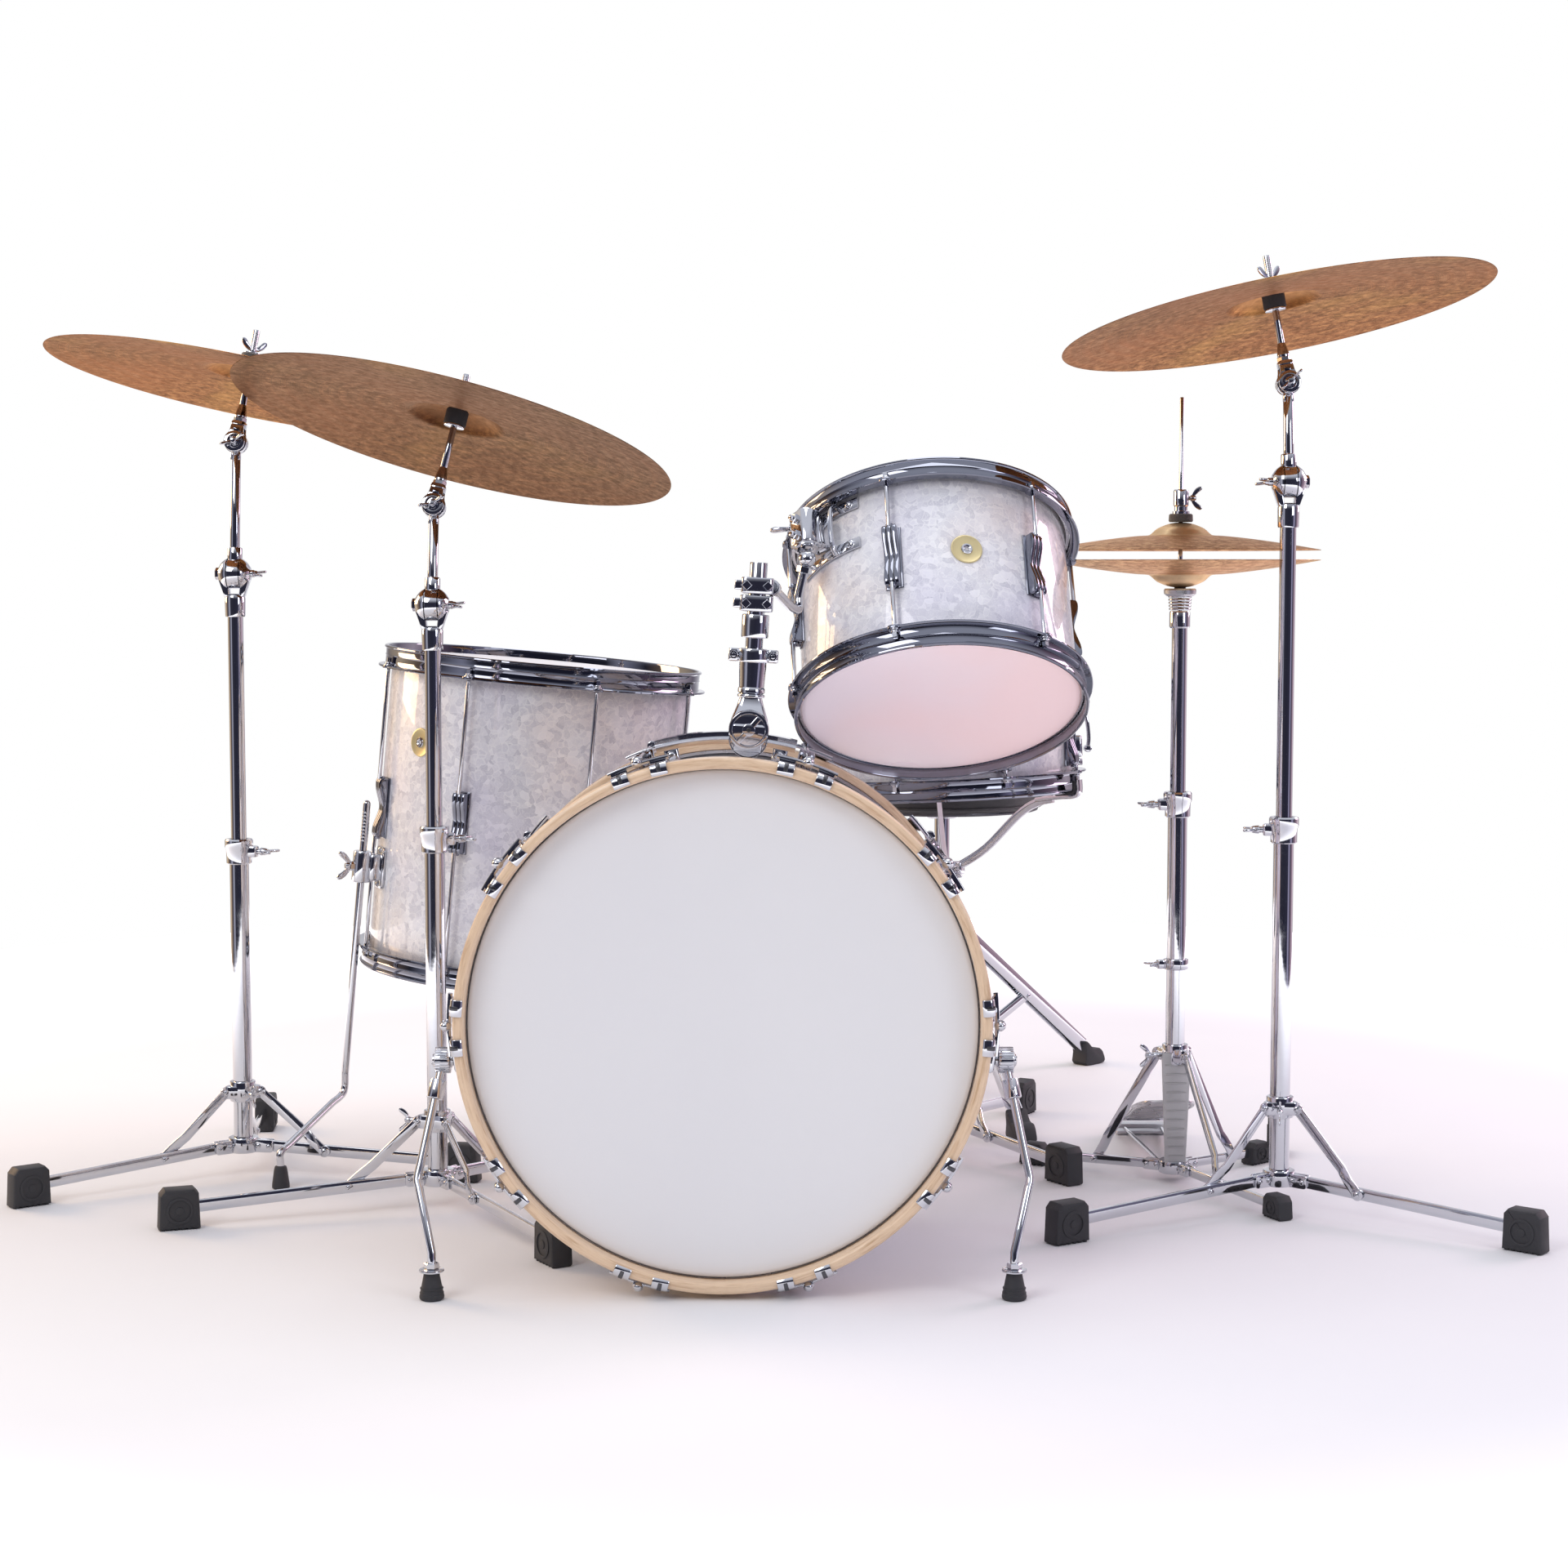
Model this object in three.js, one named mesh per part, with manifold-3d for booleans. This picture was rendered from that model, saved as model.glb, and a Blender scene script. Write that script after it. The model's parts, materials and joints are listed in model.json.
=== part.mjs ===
// Acoustic drum kit: bass drum, rack tom on a rail mount, floor tom, snare on a stand, hi-hat,
// three cymbals on flat-base stands, kick pedal and throne.
// Millimetres, +Z up, -Y is the audience side. The kit stands on Z = 0.
import * as THREE from "three";
import { mergeVertices } from "three/addons/utils/BufferGeometryUtils.js";
import Module from "manifold-3d";

const wasm = await Module();
wasm.setup();

// ---------------------------------------------------------------- driving dimensions
const INCH = 25.4;
const GAP = 0.4; // clearance between two pieces that touch
const RING_SIDES = 20; // facets round a drum or cymbal
const TUBE_SIDES = 8; // facets round a tube

const ROOT = 4; // how far a fitting is sunk into the wall it is joined to

const shellWall = 7;
const lugSize = { along: 78, across: 18, stand: 15 };
// A head's film, collar and flesh hoop, outwards from the shell and up from its edge.
const skin = { inner: 1.5, outer: 6, drop: 9, top: 1.6 };
const steelRim = { inner: 6.5, outer: 9, flange: 18, above: 12, below: 17, thick: 3 };
const claw = { deep: 10.5, across: 22, past: 2.5, inset: 3.75 };
const bracket = { across: 34, tall: 44 };

const bass = {
  radius: 11 * INCH,
  depth: 14 * INCH,
  hoopRadius: 295,
  hoopReach: 25, // how far a wooden hoop stands past the shell's edge
  hoopBack: 10, // and how far it reaches back over the shell
  lugReach: 309,
  lugs: 10,
  lugTurn: 108,
  x: -67,
  pitch: THREE.MathUtils.degToRad(0.9), // the spurs lift the audience side a little
};
const tom = {
  radius: 6.5 * INCH,
  depth: 9 * INCH,
  lugs: 6,
  lugTurn: 70,
  bottom: [188, 325, 636], // centre of the bottom head
  leanBack: 30.5, // towards the player
  leanLeft: 2,
};
// The rack tom's mount: a block on the shell, an arc of rail on the bass drum and what rides on it.
const receiver = { angle: 218, radius: 198, z: 62, deep: 26, wide: 34, tall: 46, drop: 15 };
const stalk = { deep: 34, across: 26, tall: 60, out: 11 };
const rail = { y: 196, radius: 312, halfAngle: 15, tall: 14, wide: 24, post: 18, postTall: 26 };
const saddle = { along: 34, past: 16 };
const ratchet = { x: -40, z: 618, y: 172, radius: 22, behind: 9, ahead: 26 };
const neck = { wide: 24, deep: 12, tall: 36, y: -15.4, z: 26 };
const post = { lean: 3.5, low: 34, bore: 45, clamp: 92, clampLow: 78, radius: 15, band: 21 };
const mast = { low: 52, top: 190, block: 134, wide: 38, deep: 30 };
const arm = { low: 153.8, high: 173, ring: 18, radius: 5.5, ball: 10 };
// The arm's route: its start in the column's frame, and its bend and corner in the kit's.
const armRoute = { start: [14, 4, 163], bend: [8, 222, 784], corner: 785, cornerBack: 4 };
// A spur turns on a radial pin and stands on a rubber foot beside the front hoop.
const spur = {
  below: 9, // degrees below the drum's middle
  pivotReach: 316,
  pivot: [0, 92, 250],
  bend: [24, -48, -125],
  foot: [4, -88, -250],
  rod: 5.5,
  barrel: 14,
  half: 10,
};
const floorTom = {
  radius: 8 * INCH,
  depth: 16 * INCH,
  lugs: 8,
  lugTurn: 24,
  centre: [-345, 765, 466],
  leanRight: 5.3,
  legAngles: [204, 330, 85],
  legRadius: 230,
  legTop: 4,
  legKnee: -385,
  legFeet: [[-652, 545], [-163, 628], [-352, 1042]],
  legRod: 5,
  bracketZ: -80,
  bracketPast: 12,
  hole: 6.2,
  bootTop: 26,
};
const snare = {
  radius: 7 * INCH,
  depth: 5 * INCH,
  lugs: 8,
  lugTurn: 22.5,
  centre: [216, 800, 566],
  leanBack: 2,
  leanLeft: 2.5,
};
const strainer = { pivot: 22, z: -20, barrel: 5, half: 12, handle: [5, 15, 56] };
const housing = [20, 34, 62];
const butt = [18, 30, 34];
const basket = {
  low: -200,
  top: -168,
  hub: 15,
  rise: 34,
  bar: [12, 8],
  shelf: [62, 10, 12],
  hook: [7, 14, 34],
};

// Stand tubes: the lower tube, and the one that slides in its bore.
const tube = { outer: 12.5, bore: 10.7, inner: 10 };
const foot = { long: 50, tall: 50, wide: 27 };
const legBar = { tall: 15, thick: 7 };
const brace = { at: 112, tall: 11, thick: 9 };
const hubHeight = 41;
const hubRadius = 21;
const band = { collar: 19, collarHalf: 9, clamp: 18, clampTall: 34 };
const screw = { radius: 4, reach: 36, wing: [5, 30, 16] };
const insert = 160; // length of an upper tube that stays inside the lower one
const headstock = { gap: 8.5, outer: 16, radius: 20, web: [7.5, 20, 20], base: [32, 20, 8], drop: 26 };
const boomRod = { radius: 6.5, wheel: 18, wheelHalf: 8, eye: 15, eyeHalf: 5 };
const jaw = { long: 20, thick: 6, tall: 40, z: 10 };
const felt = { radius: 14, gap: 2.4 };
const wing = { span: 34, thick: 7, tall: 16 };
const domeHeight = 34;
const bronzeThick = 1.8;

const stands = [
  {
    name: "front_left",
    at: [-434, 433],
    legs: [199, 301.5, 55],
    reach: 320,
    collar: 112,
    clamp: 482,
    ball: 756,
    tilter: 878,
    rise: 128,
    leanBack: 12,
    roll: 13,
    cymbal: 11 * INCH,
  },
  {
    name: "rear_left",
    at: [-716, 628],
    legs: [217, 352, 95],
    reach: 296,
    collar: 112,
    clamp: 447,
    ball: 794,
    tilter: 965,
    rise: 106,
    leanBack: 7,
    roll: 10,
    cymbal: 10.25 * INCH,
  },
  {
    name: "right",
    at: [620, 430],
    legs: [211, 320, 80],
    reach: 330,
    collar: 130,
    clamp: 494,
    ball: 907,
    tilter: 1028,
    rise: 116,
    leanBack: 6.7,
    roll: -9.3,
    cymbal: 10.5 * INCH,
  },
];
const hat = {
  at: [511, 590],
  legs: [295.4, 40, 150],
  reach: [231, 165, 200],
  hub: 20,
  collar: 168,
  clamp: 512,
  tubeTop: 746,
  seat: 778,
  rim: 812, // height of the bottom cymbal's rim
  open: 12, // gap between the two rims
  dome: 34,
  radius: 7 * INCH,
  rodLow: 570, // the pull rod starts above the lower tube's clamp
  rodTop: 1020,
  rod: 3,
  bore: 5,
  bar: { tall: 12, thick: 7 },
  foot: { long: 38, tall: 30, wide: 22 },
};
const hatPedal = { heel: 300, toe: 42, toeZ: 96, heelZ: 24, wide: 80, thick: 6, stay: 3 };
const shield = { top: 19, bottom: 13, thick: 6, front: 11 };
const snareStand = {
  at: [216, 800],
  legs: [304, 60, 180],
  reach: 268,
  collar: 130,
  clamp: 280,
  tubeLow: 130,
  top: 358,
};
const throne = {
  at: [240, 1190],
  legs: [285, 45, 165],
  reach: 360,
  collar: 262,
  tubeTop: 330,
  seat: 155,
  low: 440,
  outer: 15,
  bore: 12.2,
  post: 11.5,
  plate: 60,
};
const kick = { y: 446, axle: 212, width: 124, heel: 742, toe: 480, back: 35, shaft: 186, post: 9 };
const kickBoard = { heelZ: 24, toeZ: 98, wide: 84, thick: 6 };
const beater = { axle: 6, cam: 22, shaft: 4, radius: 20, half: 24 };

// ---------------------------------------------------------------- materials
const finish = (color, metalness, roughness) =>
  new THREE.MeshStandardMaterial({ color, metalness, roughness });
const chrome = finish(0xd8d9dd, 1, 0.12);
const pearl = finish(0xdcdce2, 0.05, 0.25);
const whiteHead = finish(0xe9e8ea, 0, 0.55);
const clearHead = finish(0xe3ccd4, 0, 0.35);
const maple = finish(0xd9b48a, 0, 0.4);
const bronze = finish(0x9a6b4a, 0.9, 0.4);
const rubber = finish(0x2b2b2e, 0, 0.8);
const steelPlate = finish(0xb9bbc0, 0.9, 0.35);
const vinyl = finish(0x1d1d20, 0, 0.6);

// ---------------------------------------------------------------- solids from three.js geometry
function solidOf(geometry) {
  const bare = geometry.clone();
  bare.deleteAttribute("normal");
  bare.deleteAttribute("uv");
  const merged = mergeVertices(bare, 1e-4);
  const index = merged.index.array;
  const corners = [];
  for (let i = 0; i < index.length; i += 3) {
    const [a, b, c] = [index[i], index[i + 1], index[i + 2]];
    if (a !== b && b !== c && c !== a) corners.push(a, b, c);
  }
  const vertProperties = merged.attributes.position.array;
  const triVerts = new Uint32Array(corners);
  return new wasm.Manifold(new wasm.Mesh({ numProp: 3, vertProperties, triVerts }));
}

function geometryOf(solid) {
  const { vertProperties, triVerts } = solid.getMesh();
  const geometry = new THREE.BufferGeometry();
  geometry.setAttribute("position", new THREE.BufferAttribute(vertProperties, 3));
  geometry.setIndex(new THREE.BufferAttribute(triVerts, 1));
  geometry.computeVertexNormals();
  return geometry;
}

function join(...geometries) {
  const whole = geometries.map(solidOf).reduce((sum, next) => sum.add(next));
  return geometryOf(whole);
}

function cut(base, ...tools) {
  const rest = tools.map(solidOf).reduce((left, tool) => left.subtract(tool), solidOf(base));
  return geometryOf(rest);
}

// A profile of [radius, height] points turned round the Z axis.
function turned(profile, sides = RING_SIDES) {
  const points = profile.map(([radius, height]) => new THREE.Vector2(radius, height));
  const onAxis = profile[0][0] === 0;
  if (!onAxis) points.push(points[0].clone());
  if (THREE.ShapeUtils.area(points) < 0) points.reverse();
  return new THREE.LatheGeometry(points, sides).rotateX(Math.PI / 2);
}

const ring = (inner, outer, low, high, sides = RING_SIDES) =>
  turned([[inner, low], [outer, low], [outer, high], [inner, high]], sides);

const disc = (radius, low, high, sides = TUBE_SIDES) =>
  new THREE.CylinderGeometry(radius, radius, high - low, sides)
    .rotateX(Math.PI / 2)
    .translate(0, 0, (low + high) / 2);

const block = (x, y, z, at = [0, 0, 0]) => new THREE.BoxGeometry(x, y, z).translate(...at);

// A round rod from one point to another.
function rod(from, to, radius, sides = TUBE_SIDES) {
  const start = new THREE.Vector3(...from);
  const way = new THREE.Vector3(...to).sub(start);
  const upright = new THREE.Vector3(0, 1, 0);
  const turn = new THREE.Quaternion().setFromUnitVectors(upright, way.clone().normalize());
  return new THREE.CylinderGeometry(radius, radius, way.length(), sides)
    .translate(0, way.length() / 2, 0)
    .applyQuaternion(turn)
    .translate(...from);
}

// A flat bar on edge from one point to another.
function bar(from, to, tall, thick) {
  const start = new THREE.Vector3(...from);
  const way = new THREE.Vector3(...to).sub(start);
  const along = way.clone().normalize();
  const side = new THREE.Vector3(0, 0, 1).cross(along).normalize();
  const up = along.clone().cross(side);
  const basis = new THREE.Matrix4().makeBasis(along, side, up).setPosition(start);
  return new THREE.BoxGeometry(way.length(), thick, tall)
    .translate(way.length() / 2, 0, 0)
    .applyMatrix4(basis);
}

// A bent round rod: straight lengths with a ball in each bend.
function bentRod(points, radius, sides = 6) {
  const lengths = points.slice(1).map((to, i) => rod(points[i], to, radius, sides));
  const elbow = new THREE.OctahedronGeometry(radius * 1.3);
  const bends = points.slice(1, -1).map((at) => elbow.clone().translate(...at));
  return join(...lengths, ...bends);
}

const polar = (radius, degrees, z = 0) => {
  const angle = THREE.MathUtils.degToRad(degrees);
  return [radius * Math.cos(angle), radius * Math.sin(angle), z];
};
const turnedTo = (geometry, degrees) => geometry.rotateZ(THREE.MathUtils.degToRad(degrees));

function group(parent, at, tilts = [0, 0, 0]) {
  const made = new THREE.Group();
  made.position.set(...at);
  made.rotation.set(...tilts.map(THREE.MathUtils.degToRad));
  parent.add(made);
  return made;
}

function piece(parent, name, geometry, material) {
  const mesh = new THREE.Mesh(geometry, material);
  mesh.name = name;
  parent.add(mesh);
}

// ---------------------------------------------------------------- drums
// Every drum is built round its own Z axis, with the shell's middle at the origin.
function shellWithLugs({ radius, depth, lugs, lugTurn }, reach, extras = []) {
  const wall = ring(radius - shellWall, radius, -depth / 2, depth / 2);
  const lugParts = [];
  for (let i = 0; i < lugs; i += 1) {
    const high = reach - radius + ROOT;
    const lug = block(high, lugSize.across, lugSize.along, [radius - ROOT + high / 2, 0, 0]);
    lugParts.push(turnedTo(lug, lugTurn + (i * 360) / lugs));
  }
  return join(wall, ...lugParts, ...extras);
}

// A head is a film over the shell's edge, with its collar and flesh hoop outside the shell.
function head({ radius, depth }, side) {
  const edge = depth / 2;
  const profile = [
    [0, edge + GAP],
    [radius + skin.inner, edge + GAP],
    [radius + skin.inner, edge - skin.drop],
    [radius + skin.outer, edge - skin.drop],
    [radius + skin.outer, edge + skin.top],
    [0, edge + skin.top],
  ];
  return turned(profile.map(([r, z]) => [r, z * side]));
}

function steelHoop({ radius, depth }, side) {
  const top = depth / 2 + steelRim.above;
  const low = depth / 2 - steelRim.below;
  const profile = [
    [radius + steelRim.inner, top],
    [radius + steelRim.inner, low],
    [radius + steelRim.flange, low],
    [radius + steelRim.flange, low + steelRim.thick],
    [radius + steelRim.outer, low + steelRim.thick],
    [radius + steelRim.outer, top],
  ];
  return turned(profile.map(([r, z]) => [r, z * side]));
}

// A wooden hoop and the claws that pull it down, one at each tension rod.
function woodHoop({ radius, depth, hoopRadius, hoopReach, hoopBack, lugs, lugTurn }, side) {
  const edge = depth / 2;
  const hoop = ring(radius + steelRim.inner, hoopRadius, edge - hoopBack, edge + hoopReach);
  const claws = [];
  const tall = hoopReach + hoopBack;
  for (let i = 0; i < lugs; i += 1) {
    const at = [hoopRadius - claw.inset, 0, edge + hoopReach + claw.past - tall / 2];
    claws.push(turnedTo(block(claw.deep, claw.across, tall, at), lugTurn + (i * 360) / lugs));
  }
  const whole = join(hoop, ...claws);
  return side > 0 ? whole : whole.rotateX(Math.PI);
}

function buildBassDrum(kit) {
  const half = bass.depth / 2 + bass.hoopReach;
  const height = bass.hoopRadius * Math.cos(bass.pitch) + half * Math.sin(bass.pitch);
  const drum = group(kit, [bass.x, half, height], [90 - THREE.MathUtils.radToDeg(bass.pitch), 0, 0]);
  const brackets = [-1, 1].map((side) => {
    const reach = spur.pivotReach - spur.half - GAP - bass.radius + ROOT;
    const at = [bass.radius - ROOT + reach / 2, 0, half - spur.pivot[1]];
    const body = block(reach, bracket.across, bracket.tall, at);
    return turnedTo(body, side > 0 ? -spur.below : 180 + spur.below);
  });
  piece(drum, "bass_shell", shellWithLugs(bass, bass.lugReach, brackets), pearl);
  piece(drum, "bass_front_head", head(bass, 1), whiteHead);
  piece(drum, "bass_rear_head", head(bass, -1), whiteHead);
  piece(drum, "bass_front_hoop", woodHoop(bass, 1), maple);
  piece(drum, "bass_rear_hoop", woodHoop(bass, -1), maple);
}

function buildSpurs(kit) {
  for (const [name, side] of [["bass_spur_left", -1], ["bass_spur_right", 1]]) {
    const frame = group(kit, [bass.x + side * spur.pivotReach, spur.pivot[1], spur.pivot[2]]);
    const bend = [side * spur.bend[0], spur.bend[1], spur.bend[2]];
    const tip = [side * spur.foot[0], spur.foot[1], spur.foot[2]];
    const ankle = [tip[0], tip[1], tip[2] + 30];
    const leg = bentRod([[0, 0, 0], bend, ankle], spur.rod);
    const barrel = rod([-spur.half, 0, 0], [spur.half, 0, 0], spur.barrel, 10);
    const boot = turned([[0, 0], [12, 0], [15, 4], [11, 40], [0, 40]], 10).translate(...tip);
    piece(frame, name, join(leg, barrel, boot), chrome);
  }
}

function tomGroup(kit) {
  const holder = group(kit, tom.bottom, [-tom.leanBack, 0, 0]);
  const leaned = group(holder, [0, 0, 0], [0, -tom.leanLeft, 0]);
  return group(leaned, [0, 0, tom.depth / 2]);
}

// The receiver that the L-arm goes into stands off the shell on a stalk.
function buildRackTom(kit) {
  const drum = tomGroup(kit);
  const mounts = [
    block(stalk.deep, stalk.across, stalk.tall, [tom.radius + stalk.out, 0, receiver.z]),
    block(receiver.deep, receiver.wide, receiver.tall, [receiver.radius, 0, receiver.z]),
  ];
  const turnedMounts = mounts.map((mount) => turnedTo(mount, receiver.angle));
  piece(drum, "tom_shell", shellWithLugs(tom, tom.radius + lugSize.stand, turnedMounts), pearl);
  piece(drum, "tom_batter_head", head(tom, 1), whiteHead);
  piece(drum, "tom_bottom_head", head(tom, -1), clearHead);
  piece(drum, "tom_top_hoop", steelHoop(tom, 1), chrome);
  piece(drum, "tom_bottom_hoop", steelHoop(tom, -1), chrome);
}

// ---------------------------------------------------------------- rack tom mount on the bass drum
function arcBar(radius, tall, wide, halfAngle) {
  const shape = new THREE.Shape();
  const half = THREE.MathUtils.degToRad(halfAngle);
  const middle = Math.PI / 2;
  shape.absarc(0, 0, radius + tall / 2, middle - half, middle + half, false);
  shape.absarc(0, 0, radius - tall / 2, middle + half, middle - half, true);
  return new THREE.ExtrudeGeometry(shape, { depth: wide, bevelEnabled: false, curveSegments: 8 })
    .translate(0, 0, -wide / 2)
    .rotateX(Math.PI / 2);
}

// The arc of rail stands on the shell, and the carriage straddles it with a ratchet boss in front.
function buildRail(kit) {
  const axis = group(kit, [bass.x, rail.y, bass.hoopRadius]);
  const posts = [-1, 1].map((side) => {
    const support = block(rail.post, rail.post, rail.postTall, [0, 0, rail.radius - 10]);
    return support.rotateY(THREE.MathUtils.degToRad(side * (rail.halfAngle - 3)));
  });
  const seats = cut(
    join(arcBar(rail.radius, rail.tall, rail.wide, rail.halfAngle), ...posts),
    rod([0, -rail.wide, 0], [0, rail.wide, 0], bass.radius + 3.5, 72),
  );
  piece(axis, "tom_rail", seats, chrome);

  const turn = THREE.MathUtils.radToDeg(Math.atan2(ratchet.x - bass.x, ratchet.z - bass.hoopRadius));
  const onRail = group(axis, [0, 0, 0], [0, turn, 0]);
  const cap = block(saddle.along, rail.wide + saddle.past, rail.tall + saddle.past, [0, 0, rail.radius]);
  const clear = rail.halfAngle + 8;
  const window = arcBar(rail.radius, rail.tall + 2 * GAP, rail.wide + 2 * GAP, clear);
  const front = [0, ratchet.y - rail.y - ratchet.behind, rail.radius];
  const boss = rod(front, [0, -rail.wide / 2 - ROOT, rail.radius], ratchet.radius, 12);
  piece(onRail, "tom_carriage", join(cut(cap, window), boss), chrome);
}

// The post tilts on the ratchet, the mast slides in the post, and the L-arm turns on the mast.
function buildTomMount(kit) {
  const column = group(kit, [ratchet.x, ratchet.y, ratchet.z], [0, post.lean, 0]);
  const behind = -ratchet.behind - GAP;
  const knuckle = rod([0, -ratchet.ahead, 0], [0, behind, 0], ratchet.radius - 2, 12);
  const web = block(neck.wide, neck.deep, neck.tall, [0, neck.y, neck.z]);
  const shoulder = disc(post.radius + 1, post.low - 1, post.low + 10);
  const body = join(disc(post.radius, post.low, post.clamp), disc(post.band, post.clampLow, post.clamp));
  const sleeve = cut(body, disc(tube.inner + 2 * GAP, post.bore, post.clamp + 5));
  piece(column, "tom_post", join(knuckle, web, shoulder, sleeve), chrome);

  const blockTop = arm.low - GAP;
  const blockAt = [0, 0, (mast.block + blockTop) / 2];
  const stop = block(mast.wide, mast.deep, blockTop - mast.block, blockAt);
  piece(column, "tom_column", join(disc(tube.inner, mast.low, mast.top), stop), chrome);

  const ballSeat = tomGroup(kit);
  ballSeat.updateWorldMatrix(true, false);
  const socketZ = receiver.z - receiver.tall / 2 - receiver.drop;
  const socket = polar(receiver.radius, receiver.angle, socketZ);
  const end = ballSeat.localToWorld(new THREE.Vector3(...socket));
  column.updateWorldMatrix(true, false);
  const toColumn = (x, y, z) => column.worldToLocal(new THREE.Vector3(x, y, z)).toArray();
  const seat = toColumn(end.x, end.y, end.z);
  const corner = toColumn(end.x, end.y - armRoute.cornerBack, armRoute.corner);
  const bent = bentRod([armRoute.start, toColumn(...armRoute.bend), corner, seat], arm.radius);
  const clampRing = ring(tube.inner + 2 * GAP, arm.ring, arm.low, arm.high, TUBE_SIDES);
  const knob = new THREE.SphereGeometry(arm.ball, 8, 6).translate(...seat);
  piece(column, "tom_arm", join(clampRing, bent, knob), chrome);
}

// ---------------------------------------------------------------- floor tom
function buildFloorTom(kit) {
  const drum = group(kit, floorTom.centre, [0, floorTom.leanRight, 0]);
  const { radius, legAngles, legRadius, legFeet, bracketZ, bootTop, legRod } = floorTom;
  const brackets = legAngles.map((angle) => {
    const reach = legRadius + floorTom.bracketPast - radius + ROOT;
    const at = [radius - ROOT + reach / 2, 0, bracketZ];
    const body = block(reach, bracket.across, bracket.tall, at);
    const hole = disc(floorTom.hole, bracketZ - 30, bracketZ + 30).translate(legRadius, 0, 0);
    return turnedTo(cut(body, hole), angle);
  });
  piece(drum, "floor_tom_shell", shellWithLugs(floorTom, radius + lugSize.stand, brackets), pearl);
  piece(drum, "floor_tom_batter_head", head(floorTom, 1), whiteHead);
  piece(drum, "floor_tom_bottom_head", head(floorTom, -1), whiteHead);
  piece(drum, "floor_tom_top_hoop", steelHoop(floorTom, 1), chrome);
  piece(drum, "floor_tom_bottom_hoop", steelHoop(floorTom, -1), chrome);

  // Each leg runs up beside the shell, parallel to it, and kicks out to its rubber foot.
  drum.updateWorldMatrix(true, false);
  legAngles.forEach((angle, i) => {
    const [x, y] = polar(legRadius, angle);
    const top = drum.localToWorld(new THREE.Vector3(x, y, floorTom.legTop)).toArray();
    const knee = drum.localToWorld(new THREE.Vector3(x, y, floorTom.legKnee)).toArray();
    const [footX, footY] = legFeet[i];
    const ankle = [footX, footY, bootTop + 22];
    const leg = bentRod([top, knee, ankle, [footX, footY, bootTop]], legRod);
    const boot = turned([[0, 0], [12, 0], [11, bootTop + 2], [0, bootTop + 2]], 8);
    piece(kit, `floor_tom_leg_${i + 1}`, join(leg, boot.translate(footX, footY, 0)), chrome);
  });
}

// ---------------------------------------------------------------- snare drum and its stand
function buildSnare(kit) {
  const drum = group(kit, snare.centre, [-snare.leanBack, -snare.leanLeft, 0]);
  const { radius, depth } = snare;
  const throwOff = block(...housing, [radius + 6, 0, 0]);
  const buttEnd = turnedTo(block(...butt, [radius + 5, 0, 0]), 180);
  piece(drum, "snare_shell", shellWithLugs(snare, radius + lugSize.stand, [throwOff, buttEnd]), pearl);
  piece(drum, "snare_batter_head", head(snare, 1), whiteHead);
  piece(drum, "snare_side_head", head(snare, -1), clearHead);
  piece(drum, "snare_top_hoop", steelHoop(snare, 1), chrome);
  piece(drum, "snare_bottom_hoop", steelHoop(snare, -1), chrome);
  const pin = radius + strainer.pivot;
  const barrel = rod([pin, -strainer.half, strainer.z], [pin, strainer.half, strainer.z], strainer.barrel);
  const handle = block(...strainer.handle, [pin, 0, strainer.z + 30]);
  piece(drum, "snare_strainer_lever", join(barrel, handle), chrome);

  const under = -depth / 2 - steelRim.above - GAP;
  const arms = [90, 210, 330].map((angle) => {
    const rise = bar([8, 0, basket.top - 8], [radius - basket.rise, 0, under - 7], ...basket.bar);
    const shelf = block(...basket.shelf, [radius - 4, 0, under - basket.shelf[2] / 2]);
    const hook = block(...basket.hook, [radius + 24, 0, under + 5]);
    return turnedTo(join(rise, shelf, hook), angle);
  });
  piece(drum, "snare_basket", join(disc(basket.hub, basket.low, basket.top, 10), ...arms), chrome);
}

// ---------------------------------------------------------------- flat-base stands
// Three flat bars meet at a hub near the floor; a brace runs up from each bar to a sliding collar.
function tripod({ legs, collar, clamp, reach, hub = hubHeight, bar: size = legBar, foot: shoe = foot }) {
  const heel = shoe.tall / 2;
  const clampMiddle = clamp - band.clampTall / 2;
  const parts = [
    disc(hubRadius, hub - size.tall / 2 - 3, hub + 11, 10),
    cut(disc(tube.outer, hub, clamp), disc(tube.bore, hub + 16, clamp + 5)),
    ring(tube.bore + 1, band.collar, collar - band.collarHalf, collar + band.collarHalf, 8),
    ring(tube.bore, band.clamp, clamp - band.clampTall, clamp, 8),
    rod([tube.outer, 0, clampMiddle], [screw.reach, 0, clampMiddle], screw.radius, 6),
    block(...screw.wing, [screw.reach + 2, 0, clampMiddle]),
  ];
  legs.forEach((angle, i) => {
    const length = Array.isArray(reach) ? reach[i] : reach;
    const heightAt = (distance) => hub + ((heel - hub) * distance) / length;
    const leg = bar([8, 0, hub], [length - 6, 0, heightAt(length - 6)], size.tall, size.thick);
    const braceEnd = [brace.at, 0, heightAt(brace.at) + 2];
    const prop = bar([15, 0, collar], braceEnd, brace.tall, brace.thick);
    const rubberFoot = block(shoe.long, shoe.wide, shoe.tall, [length, 0, heel]);
    parts.push(turnedTo(join(leg, prop, rubberFoot), angle));
  });
  return join(...parts);
}

// A cymbal: bell, bow and a thin edge, pierced for its post. Its bell's underside is at Z = 0.
function cymbalBody(radius, dome) {
  const bell = 0.21 * radius;
  const under = [
    [9, -0.5],
    [0.55 * bell, -0.12 * dome],
    [bell, -0.42 * dome],
    [radius, -dome],
  ];
  const over = under.map(([r, z]) => [r, z + bronzeThick]).reverse();
  return turned([...under, ...over], 22);
}

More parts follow.
